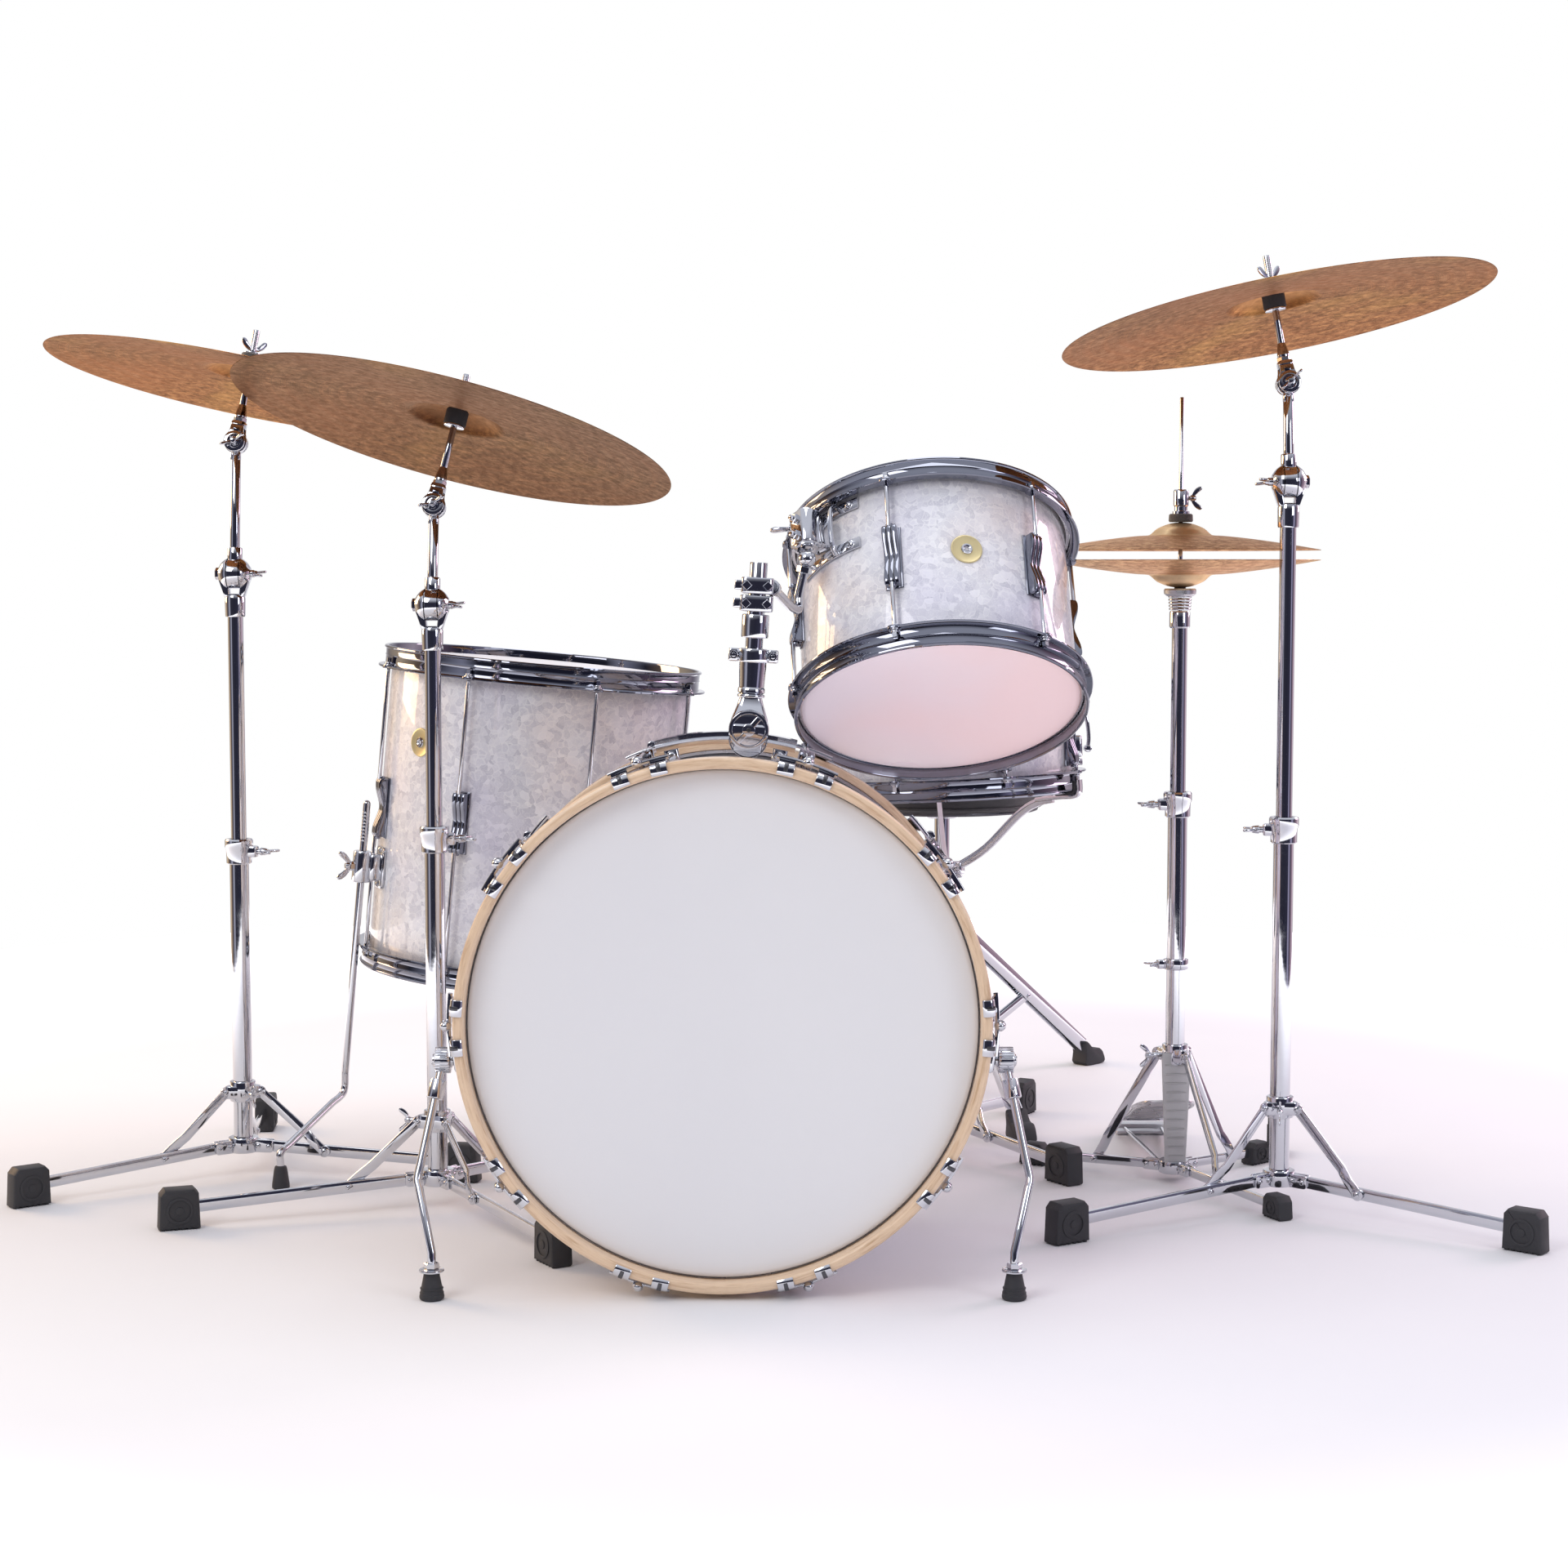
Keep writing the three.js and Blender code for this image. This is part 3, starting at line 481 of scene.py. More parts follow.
def make_bronze(name, gain):
    """Cast bronze, hammered in small marks and lathed in fine rings, with a smoother bell, and broad patches
    of painted shade and painted golden light.
    """
    paint = graph(name, Metallic=0.85, Roughness=0.42, Specular_Tint=(1.0, 0.80, 0.62, 1))

    def brown(*colour):
        return tuple(min(0.95, share * part) for share, part in zip(gain, colour))

    where = paint.node("TexCoord", out="Object")
    _, radius = round_axis(paint.node, where)
    rings = paint.node("CombineXYZ", {0: paint.calc("MULTIPLY", radius, 900.0)})
    lathed = paint.node("TexNoise", {"Vector": rings, "Scale": 1.0, "Detail": 3.0})
    marks = paint.node(
        "TexNoise", {"Vector": where, "Scale": 95.0, "Detail": 5.0, "Roughness": 0.7, "Distortion": 0.3}
    )
    dents = paint.node("TexNoise", {"Vector": where, "Scale": 46.0, "Detail": 2.0})
    # Painted light and shade in broad patches: darker brown where this noise is high, golden where it is low.
    broad_light_and_shade = paint.node("TexNoise", {"Vector": where, "Scale": 4.5, "Detail": 3.0})
    mixed = paint.calc("ADD", paint.calc("MULTIPLY", marks, 0.6), paint.calc("MULTIPLY", lathed, 0.4))
    browns = [(0.40, brown(0.07, 0.022, 0.006)), (0.48, brown(0.18, 0.068, 0.020))]
    browns += [(0.54, brown(0.31, 0.130, 0.038)), (0.63, brown(0.52, 0.255, 0.078))]
    metal = paint.ramp(mixed, browns)
    painted_shade_metal = paint.blend(paint.ramp(broad_light_and_shade, [(0.40, 0.0), (0.65, 0.75)]), metal, brown(0.30, 0.105, 0.036))
    painted_light_metal = paint.blend(paint.ramp(broad_light_and_shade, [(0.30, 0.6), (0.45, 0.0)]), painted_shade_metal, brown(0.50, 0.28, 0.075))
    bell = paint.ramp(radius, [(0.045, 1.0), (0.058, 0.0)])
    smooth_metal = paint.blend(paint.calc("MULTIPLY", bell, 0.7), painted_light_metal, brown(0.48, 0.25, 0.10))
    bands = paint.calc("SINE", paint.calc("MULTIPLY", radius, math.tau / 0.023))
    paint.link(
        paint.blend(1.0, smooth_metal, paint.ramp(bands, [(0.0, 0.86), (1.0, 1.0)]), "MULTIPLY"),
        "Base Color"
    )
    paint.link(paint.ramp(marks, [(0.3, 0.5), (0.7, 0.3)]), "Roughness")
    paint.bump(
        paint.calc("ADD", paint.calc("MULTIPLY", dents, 1.2), paint.calc("MULTIPLY", lathed, 0.25)), 0.45,
        0.0008
    )


def make_maple(name="maple", light=(0.80, 0.59, 0.40), dark=(0.60, 0.39, 0.23)):
    """Steam-bent maple: the grain runs round the hoop, and the plies show at its edges."""
    paint = graph(name, Roughness=0.38, Coat_Weight=0.45, Coat_Roughness=0.12)
    where = paint.node("TexCoord", out="Object")
    xyz, radius = round_axis(paint.node, where)
    angle = paint.calc("ARCTAN2", xyz[1], xyz[0])
    along = paint.node(
        "CombineXYZ",
        {
            0: paint.calc("MULTIPLY", paint.calc("COSINE", angle), 4.0),
            1: paint.calc("MULTIPLY", paint.calc("SINE", angle), 4.0),
            2: paint.calc("MULTIPLY", paint.calc("ADD", xyz[2], radius), 160.0),
        },
    )
    grain = paint.node(
        "TexNoise", {"Vector": along, "Scale": 1.6, "Detail": 5.0, "Roughness": 0.6, "Distortion": 0.3}
    )
    fleck = paint.node("TexNoise", {"Vector": along, "Scale": 9.0, "Detail": 2.0})
    plies = paint.calc("SINE", paint.calc("MULTIPLY", radius, math.tau / 0.0031))
    wood = paint.ramp(grain, [(0.3, dark), (0.5, light), (0.75, tuple(min(1, c * 1.06) for c in light))])
    flecked = paint.blend(paint.ramp(fleck, [(0.55, 0.0), (0.72, 0.35)]), wood, dark)
    paint.link(paint.blend(paint.ramp(plies, [(0.75, 0.0), (1.0, 0.18)]), flecked, dark), "Base Color")
    paint.bump(grain, 0.12, 0.0004)


def make_head(name, colour, shade, rough, coating, clear, glow=0.0):
    """A plastic film, coloured from shade at its left to colour at its right, a painted fall of light across
    it. Clear lets light through; glow is painted light, a glow from a film that is no lamp.
    """
    paint = graph(
        name, Roughness=rough, Transmission_Weight=clear, Coat_Weight=0.15, Coat_Roughness=0.25,
        Emission_Color=(*colour, 1), Emission_Strength=glow,
    )
    where = paint.node("TexCoord", out="Object")
    haze = paint.node("TexNoise", {"Vector": where, "Scale": 4.0, "Detail": 3.0})
    grit = paint.node("TexNoise", {"Vector": where, "Scale": 900.0, "Detail": 2.0})
    # Painted light: the film grades from shade at its left to its colour at its right.
    sideways = paint.node("SeparateXYZ", {0: where}, out=0)
    drift = paint.calc("ADD", paint.calc("MULTIPLY", sideways, 2.4), haze)
    paint.link(paint.blend(paint.ramp(drift, [(0.2, 0.0), (0.8, 1.0)], True), shade, colour), "Base Color")
    paint.link(paint.ramp(haze, [(0.3, rough * 0.85), (0.7, rough * 1.15)]), "Roughness")
    paint.bump(grit, coating, 0.0002)


# How much darker a plain material's patches are.
PATCH_SHADE = 0.75


def make_plain(name, colour, rough, metal=0.0, grain=400.0, depth=0.0003, strength=0.3, **extra):
    """A material with fine grain in its height and slow changes in its colour and roughness."""
    paint = graph(name, Metallic=metal, Roughness=rough, **extra)
    where = paint.node("TexCoord", out="Object")
    patch = paint.node("TexNoise", {"Vector": where, "Scale": 24.0, "Detail": 4.0})
    fine = paint.node("TexNoise", {"Vector": where, "Scale": grain, "Detail": 3.0, "Roughness": 0.6})
    paint.link(paint.blend(patch, tuple(c * PATCH_SHADE for c in colour), colour), "Base Color")
    paint.link(paint.ramp(patch, [(0.3, rough * 0.85), (0.7, min(rough * 1.15, 1.0))]), "Roughness")
    paint.bump(fine, strength, depth)


def make_vinyl():
    """Grained upholstery vinyl: a net of shallow pebbles."""
    paint = graph("vinyl", Roughness=0.5, Sheen_Weight=0.15)
    where = paint.node("TexCoord", out="Object")
    pebbles = paint.node("TexVoronoi", {"Vector": where, "Scale": 520.0}, out=0, feature="DISTANCE_TO_EDGE")
    patch = paint.node("TexNoise", {"Vector": where, "Scale": 9.0, "Detail": 3.0})
    paint.link(paint.blend(patch, (0.018, 0.018, 0.020), (0.040, 0.040, 0.044)), "Base Color")
    paint.link(paint.ramp(patch, [(0.3, 0.42), (0.7, 0.58)]), "Roughness")
    paint.bump(paint.ramp(pebbles, [(0.0, 0.0), (0.12, 1.0)]), 0.45, 0.0004)


def make_materials():
    make_pearl()
    make_chrome()
    make_chrome("flesh_hoop", (0.72, 0.72, 0.74), 0.22)
    # Dark steel; also painted shade where it fills screw slots, the claws' grooves, the lugs' flutes and the
    # mouth of a tube.
    make_chrome("dark_steel", (0.12, 0.12, 0.13), 0.3)
    make_chrome("cast_metal", (0.60, 0.60, 0.62), 0.3)
    make_chrome("steel_wire", (0.62, 0.62, 0.64), 0.25)
    make_chrome("gold", (0.86, 0.68, 0.30), 0.28)
    make_bronze("bronze", (1.15, 1.15, 1.2))
    make_bronze("dark_bronze", (0.58, 0.53, 0.62))
    # A lighter, paler copy of the bronze: painted warm light on the hi-hat cymbals.
    make_bronze("hat_bronze", (2.1, 3.0, 4.6))
    # A copy of the chrome with its colour darkened: painted dark reflection on the hoops, lugs and tilter
    # blocks, in place of a dark room round them.
    make_chrome("deep_chrome", (0.25, 0.26, 0.31), 0.04)
    make_maple()
    make_maple("shell_ply", (0.72, 0.54, 0.36), (0.50, 0.33, 0.20))
    # Both films carry painted shade at their left; head_clear's pink at the right and lavender at the left
    # are painted coloured light, and its glow is painted light.
    make_head("head_white", (0.84, 0.84, 0.85), (0.82, 0.82, 0.835), rough=0.5, coating=0.35, clear=0.0)
    make_head(
        "head_clear", (1.0, 0.80, 0.80), (0.94, 0.90, 0.96), rough=0.3, coating=0.15, clear=0.1, glow=0.16
    )
    make_plain("rubber", (0.035, 0.035, 0.04), 0.62, strength=0.5)
    make_plain(
        "felt", (0.10, 0.095, 0.09), 0.95, grain=1400.0, strength=0.9, depth=0.0006, Sheen_Weight=0.5
    )
    make_plain("badge", (0.78, 0.66, 0.36), 0.35, metal=0.6, strength=0.08)
    make_plain("frosted", (0.80, 0.80, 0.80), 0.35, strength=0.15, Transmission_Weight=0.4)
    make_plain(
        "beater_felt", (0.62, 0.60, 0.56), 0.95, grain=1200.0, strength=0.9, depth=0.0006, Sheen_Weight=0.4
    )
    make_vinyl()


# ---------------------------------------------------------------- drums
class Drum:
    """A drum's sizes, and its frame: Z from the lower head to the upper one, at the shell's middle."""

    def __init__(self, name, upper, lower, radius, depth, lugs, turned, lug_reach, rod_at):
        self.name = name
        low, high = (sum(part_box(node), Vector()) / 2 for node in (lower, upper))
        self.place = standing((low + high) / 2, high - low)
        self.radius = radius
        self.half = depth / 2
        self.lug_turns = [turned + 360 * i / lugs for i in range(lugs)]
        self.lug_reach = lug_reach
        self.rod_at = rod_at


SHELL_WALL = 7
RIB_WIDTH = 5.4
LUG_HALF = 39
# How far a tension rod stops short of the drum's edge.
ROD_SHORT = 13.5


def shell(shape, drum):
    """Outer wrap, wooden ply inside it, and bearing edges at both ends."""
    radius, half = drum.radius, drum.half
    skin = radius - 0.9
    wrap = [(skin, -half + 2.2), (radius - 0.2, -half + 1.6), (radius, -half + 2.4)]
    shape.lathe(both_ends(wrap), "pearl", sides=144)
    inner = radius - SHELL_WALL
    ply = [
        (skin - 0.05, -half + 1.9), (skin - 1.2, -half + 0.4), (skin - 2.0, -half),
        (skin - 2.8, -half + 0.5), (inner, -half + 4.5)
    ]
    shape.lathe(both_ends(ply), "shell_ply", sides=144)


def lug(shape, place, reach):
    """A lug waisted at its middle, with three ribs along its face and a swivel nut in each end."""
    waist = reach * 0.56
    side = [
        (0, -LUG_HALF), (reach * 0.86, -LUG_HALF), (reach, -LUG_HALF + 5), (reach * 0.93, -23), (waist, -5),
        (waist, 5)
    ]
    side += [(reach * 0.93, 23), (reach, LUG_HALF - 5), (reach * 0.86, LUG_HALF), (0, LUG_HALF)]
    outline = [side[0]] + flat_curve(side[1:-1], 3) + [side[-1]]
    stood = place @ turn(90, "X")
    # The ribs, backplate and nut ends are in the darkened chrome: painted dark reflection.
    for rib in (-1, 0, 1):
        middle = rib * (RIB_WIDTH + 0.7)
        shape.plate(outline, middle - RIB_WIDTH / 2, middle + RIB_WIDTH / 2, 1.1, "deep_chrome", stood)
    # A dark core shows between the ribs: painted shade in the flutes.
    core = [(min(x, reach) - 1.6 if x > 2 else x, y * 0.97) for x, y in outline]
    shape.plate(core, -6, 6, 0.3, "dark_steel", stood)
    shape.brick(2.4, 22, 2 * LUG_HALF + 3, 0.8, "deep_chrome", place @ move(1))
    for end in (-1, 1):
        shape.peg(
            4.6, LUG_HALF - 3, LUG_HALF + 3, "deep_chrome",
            place @ move(reach * 0.62) @ turn(90 - 90 * end, "X")
        )


def tension_rod(shape, place, start, end):
    """A rod along Z with a collar and a square key head past its far end."""
    shape.peg(2.7, start, end, "chrome", place, edge=0.4, sides=14)
    head = place @ move(z=end)
    shape.collar(2.4, 6.4, -0.6, 1.2, "chrome", head, edge=0.4, sides=20)
    shape.peg(4.6, 1.0, 4.2, "chrome", head, edge=0.7, sides=20)
    shape.nut(3.7, 4.0, 10.5, "chrome", head @ turn(45), corners=4)


def drum_shell(drum, extras=None, rods=True):
    shape = Shape()
    shell(shape, drum)
    for angle in drum.lug_turns:
        place = turn(angle) @ move(drum.radius)
        lug(shape, place, drum.lug_reach)
        if rods:
            for side in (-1, 1):
                rod = turn(angle) @ move(drum.rod_at) @ facing_side(side)
                tension_rod(shape, rod, LUG_HALF - 1, drum.half - ROD_SHORT)
    if extras:
        extras(shape)
    stand_in(drum.name + "_shell", shape, drum.place, "pearl_wrap")


def drum_head(drum, node, side, material):
    """The film, its collar over the bearing edge, and the metal flesh hoop that grips it."""
    edge, radius = drum.half, drum.radius
    film = [
        (0, edge + 1.5), (radius - 12, edge + 1.5), (radius - 4, edge + 1.3), (radius - 0.5, edge + 0.7)
    ]
    film += [(radius + 1.2, edge - 0.6), (radius + 2.2, edge - 7)]
    inside = [(max(r - 0.25, 0), z - 0.35) for r, z in reversed(film)]
    shape = Shape()
    flip = facing_side(side)
    shape.lathe(film + inside, material, flip, sides=128)
    hoop = [
        (radius + 2.0, edge - 8.6), (radius + 5.6, edge - 8.6), (radius + 6.0, edge - 7.8),
        (radius + 6.0, edge - 2.6)
    ]
    hoop += [(radius + 5.4, edge - 1.8), (radius + 3.2, edge - 1.8), (radius + 2.4, edge - 3)]
    shape.lathe(hoop, "flesh_hoop", flip, sides=128)
    stand_in(node, shape, drum.place, material)


def steel_hoop(drum, node, side):
    """A triple-flanged hoop: a rolled lip, an upright wall with a bead, and a flange with rod ears."""
    radius, edge = drum.radius, drum.half
    wall = radius + 6.6
    profile = [(wall, edge - 15.5), (wall, edge + 10)]
    profile += [(wall + 0.5, edge + 11.4), (wall + 1.6, edge + 12.2), (wall + 3.2, edge + 12.2)]
    profile += [(wall + 4.6, edge + 11.2), (wall + 4.9, edge + 9.6), (wall + 4.2, edge + 8.5)]
    profile += [
        (wall + 2.6, edge + 7.6), (wall + 2.3, edge + 0.6), (wall + 3.0, edge - 0.6),
        (wall + 2.3, edge - 1.8)
    ]
    profile += [(wall + 2.3, edge - 11.2), (wall + 3.4, edge - 13.4), (wall + 10.4, edge - 13.9)]
    profile += [
        (wall + 11.3, edge - 14.7), (wall + 11.2, edge - 16.2), (wall + 10.2, edge - 16.9),
        (wall + 2, edge - 17), (wall + 0.4, edge - 16.6)
    ]
    shape = Shape()
    flip = facing_side(side)
    # The hoop and its ears are in the darkened chrome: painted dark reflection.
    shape.lathe(profile, "deep_chrome", flip, sides=128)
    for angle in drum.lug_turns:
        ear = turn(angle) @ move(drum.rod_at) @ move(z=side * (edge - 15.4))
        shape.plate(rounded(15, 17, 6.4, 4), -2.1, 2.1, 0.9, "deep_chrome", ear)
    stand_in(node, shape, drum.place)


def heads_and_hoops(drum, lower_head, lower_film):
    drum_head(drum, f"{drum.name}_batter_head", 1, "head_white")
    drum_head(drum, lower_head, -1, lower_film)
    steel_hoop(drum, f"{drum.name}_top_hoop", 1)
    steel_hoop(drum, f"{drum.name}_bottom_hoop", -1)


def badge(shape, drum, angle, height):
    """A plain round badge held by the vent's grommet."""
    place = turn(angle) @ move(drum.radius, 0, height) @ turn(90, "Y")
    ring = [
        (4.5, 0.1), (18.4, 0.1), (18.9, 0.5), (18.6, 1.1), (17.4, 1.35), (16.6, 1.0), (6.5, 1.0), (4.5, 1.0)
    ]
    shape.lathe(ring, "badge", place, 64)
    grommet = [
        (2.6, -7.6), (4.4, -7.6), (4.4, 1.0), (6.6, 1.2), (6.9, 2.0), (6.2, 2.9), (4.2, 3.1), (3.0, 2.2),
        (2.6, 0.5)
    ]
    shape.lathe(grommet, "chrome", place, 40)


def drums():
    """The four drums, each found from the CAD heads at its two ends."""
    return {
        "bass": Drum(
            "bass", upper="bass_front_head", lower="bass_rear_head",
            radius=11 * INCH, depth=14 * INCH, lugs=10, turned=108, lug_reach=27, rod_at=304
        ),
        "tom": Drum(
            "tom", upper="tom_batter_head", lower="tom_bottom_head",
            radius=6.5 * INCH, depth=9 * INCH, lugs=6, turned=70, lug_reach=15, rod_at=177.6
        ),
        "floor": Drum(
            "floor_tom", upper="floor_tom_batter_head", lower="floor_tom_bottom_head",
            radius=8 * INCH, depth=16 * INCH, lugs=8, turned=24, lug_reach=15, rod_at=215.7
        ),
        "snare": Drum(
            "snare", upper="snare_batter_head", lower="snare_side_head",
            radius=7 * INCH, depth=5 * INCH, lugs=8, turned=22.5, lug_reach=15, rod_at=190.3
        ),
    }


# ---------------------------------------------------------------- bass drum
CLAW_SPREAD = 4.3
HOOP_OUTER = 295
HOOP_REACH = 25


def wood_hoop(drum, node, side):
    """A bent maple hoop with rounded edges, and a two-fingered claw at each tension rod."""
    edge = drum.half
    outer, inner, seat = HOOP_OUTER, 282.6, drum.radius + 6.5
    front, back = edge + HOOP_REACH, edge - 10
    profile = [
        (seat, back + 0.5), (seat + 1, back), (outer - 2.5, back), (outer - 0.6, back + 0.8),
        (outer, back + 2.8)
    ]
    profile += [
        (outer, front - 4.5), (outer - 1.2, front - 1.6), (outer - 3.6, front - 0.2), (outer - 5, front)
    ]
    profile += [
        (inner + 4.6, front), (inner + 3.2, front - 0.2), (inner + 1, front - 1.7), (inner, front - 4.2)
    ]
    profile += [(inner, edge + 2.4), (seat, edge + 2.2)]
    shape = Shape()
    flip = facing_side(side)
    shape.lathe(profile, "maple", flip, sides=180)
    for angle in drum.lug_turns:
        claw(shape, flip @ turn(angle if side > 0 else -angle), edge)
    stand_in(node, shape, drum.place, "maple")


def claw(shape, place, edge):
    """Two fingers that wrap over the hoop's front, joined behind it by the rod's saddle."""
    front = edge + HOOP_REACH
    for side in (-1, 1):
        finger = place @ turn(side * CLAW_SPREAD)
        path = [(299, 0, edge - 4), (297.6, 0, edge + 4), (296.9, 0, edge + 14), (296.7, 0, front - 4)]
        path += [
            (295.8, 0, front - 0.8), (293.0, 0, front + 1.5), (287.6, 0, front + 1.7),
            (285.2, 0, front + 0.4)
        ]
        curve = smooth(path, 3)
        shape.sweep(rounded(19, 3, 1.3, 2), curve, "chrome", side=BACK, place=finger)
        # A dark strip in each finger's groove: painted shade.
        groove = [p + Vector((1.2, 0, 0.9)) for p in curve[9:-3]]
        shape.sweep(rounded(5, 1.6, 0.7, 2), groove, "dark_steel", side=BACK, place=finger)
    bridge = [polar(301.5, 1.1 * step, edge - 3) for step in range(-6, 7)]
    shape.sweep(rounded(10, 5, 2, 2), bridge, "chrome", side=UP, place=place)
    shape.peg(3, edge - 140, edge + 4, "chrome", place @ move(304), edge=0.4, sides=14)
    shape.peg(6.4, edge + 2, edge + 6, "chrome", place @ move(304), edge=1.2)
    shape.ball(5.6, "chrome", place @ move(304, 0, edge + 9), sides=18)


def bass_drum(drum):
    def spur_brackets(shape):
        for name in ("left", "right"):
            pivot = drum.place.inverted() @ joint_at(f"spur_{name}_fold") / MM
            angle = math.degrees(math.atan2(pivot.y, pivot.x))
            place = turn(angle) @ move(drum.radius, 0, pivot.z)
            shape.plate(rounded(66, 40, 12, 4), -1, 4, 1.5, "chrome", place @ turn(90, "Y"))
            shape.brick(27, 30, 38, 3, "chrome", place @ move(14))
            shape.collar(7, 15.5, 21, 25.4, "chrome", place @ turn(90, "Y"), edge=1.4)
            for end in (-1, 1):
                shape.bolt(4.5, 3.5, "chrome", place @ move(3.6, 0, end * 26) @ turn(90, "Y"))

    drum_shell(drum, spur_brackets, rods=False)
    drum_head(drum, "bass_front_head", 1, "head_white")
    drum_head(drum, "bass_rear_head", -1, "head_white")
    wood_hoop(drum, "bass_front_hoop", 1)
    wood_hoop(drum, "bass_rear_hoop", -1)
    spur = {"rod": 4.8, "bend": (24, -48, -125), "foot": (4, -88, -250), "ankle": 52, "boot": 34}
    for name, side in (("left", -1), ("right", 1)):
        shape = Shape()
        foot = Vector((side * spur["foot"][0], spur["foot"][1], spur["foot"][2]))
        bend = Vector((side * spur["bend"][0], spur["bend"][1], spur["bend"][2]))
        ankle = foot + Vector((0, 0, spur["ankle"]))
        near = bend + (ankle - bend) * 0.12
        path = [Vector((side * 2, -4, -10))] + smooth([bend * 0.88, bend, near], 6) + [
            ankle, foot + Vector((0, 0, spur["boot"]))
        ]
        shape.tube(path, spur["rod"], "chrome", sides=16)
        across = turn(90, "Y")
        shape.peg(14, -9, 9, "chrome", across, edge=2, sides=36)
        for face in (-1, 1):
            shape.bolt(7, 3.5, "chrome", turn(face * 90, "Y") @ move(z=9))
        for tooth in range(24):
            shape.brick(
                17, 1.5, 2.6, 0.5, "chrome", across @ turn(15 * tooth) @ move(13.6, 0, 0) @ turn(90, "Y")
            )
        grip = Vector(path[0]).lerp(path[1], 0.22)
        stem = standing(grip, Vector(path[1]) - Vector(path[0]))
        shape.collar(4.6, 9.5, -12, 10, "chrome", stem)
        shape.wing_nut("chrome", stem @ turn(90 if side > 0 else -90) @ move(9) @ turn(90, "Y"), 11)
        boot = [(0, 0), (11.5, 0), (13.4, 1.4), (13.8, 4), (12.6, 9), (9.2, 26), (8.2, 31), (0, 31)]
        shape.lathe(boot, "rubber", move(*foot), 40)
        for groove in (7, 12):
            shape.collar(9, 14.0 - groove * 0.1, groove, groove + 1.6, "rubber", move(*foot), edge=0.5)
        shape.collar(4.4, 14, 31, 34, "chrome", move(*foot), edge=1)
        shape.nut(8.5, 34, 41, "chrome", move(*foot))
        stand_in(f"bass_spur_{name}", shape, standing(joint_at(f"spur_{name}_fold")))


# ---------------------------------------------------------------- rack tom and its mount
RECEIVER = {"angle": 218, "radius": 198, "z": 62}


def rack_tom(drum):
    def receiver(shape):
        place = turn(RECEIVER["angle"]) @ move(0, 0, RECEIVER["z"])
        radius = drum.radius
        guard = [polar(radius + 2.4, step, 0) for step in range(-18, 19, 3)]
        for end in (-1, 1):
            shape.sweep(
                rounded(14, 3.4, 1.2, 2), [p + Vector((0, 0, end * 27)) for p in guard], "chrome", side=UP,
                place=place
            )
            for arc_end in (-14, 14):
                spot = place @ turn(arc_end) @ move(radius + 3.8, 0, end * 27) @ turn(90, "Y")
                shape.bolt(4.6, 4, "chrome", spot)
        frame_path = smooth(
            [
                (radius + 4, -22, 34), (radius + 14, -25, 24), (radius + 16, -25, 0),
                (radius + 12, -23, -24), (radius + 4, -20, -33)
            ],
            5
        )
        for side in (-1, 1):
            mirrored = [(p.x, p.y * side, p.z) for p in frame_path]
            shape.sweep(rounded(7, 4.5, 1.6, 2), mirrored, "chrome", side=BACK, place=place)
        shape.brick(26, 30, 40, 3.5, "chrome", place @ move(radius + 16, 0, 0))
        body = place @ move(RECEIVER["radius"])
        shape.plate(rounded(30, 34, 9, 4), -23, 23, 3, "chrome", body)
        shape.collar(8, 15, -26, -20, "chrome", body, edge=1.6)
        shape.peg(11, 20, 27, "chrome", body, edge=2)
        for height in (-11, 11):
            shape.nut(6.5, 12, 20, "chrome", body @ move(z=height) @ turn(90, "Y"))
            shape.peg(3.6, 18, 24, "chrome", body @ move(z=height) @ turn(90, "Y"), edge=0.8)
        shape.wing_nut("chrome", body @ move(0, -16, 12) @ turn(90, "X"), 24)

    def extras(shape):
        receiver(shape)
        badge(shape, drum, 280, 6)

    drum_shell(drum, extras)
    heads_and_hoops(drum, "tom_bottom_head", "head_clear")


RAIL = {"radius": 312, "half": 15, "tall": 14, "wide": 24}


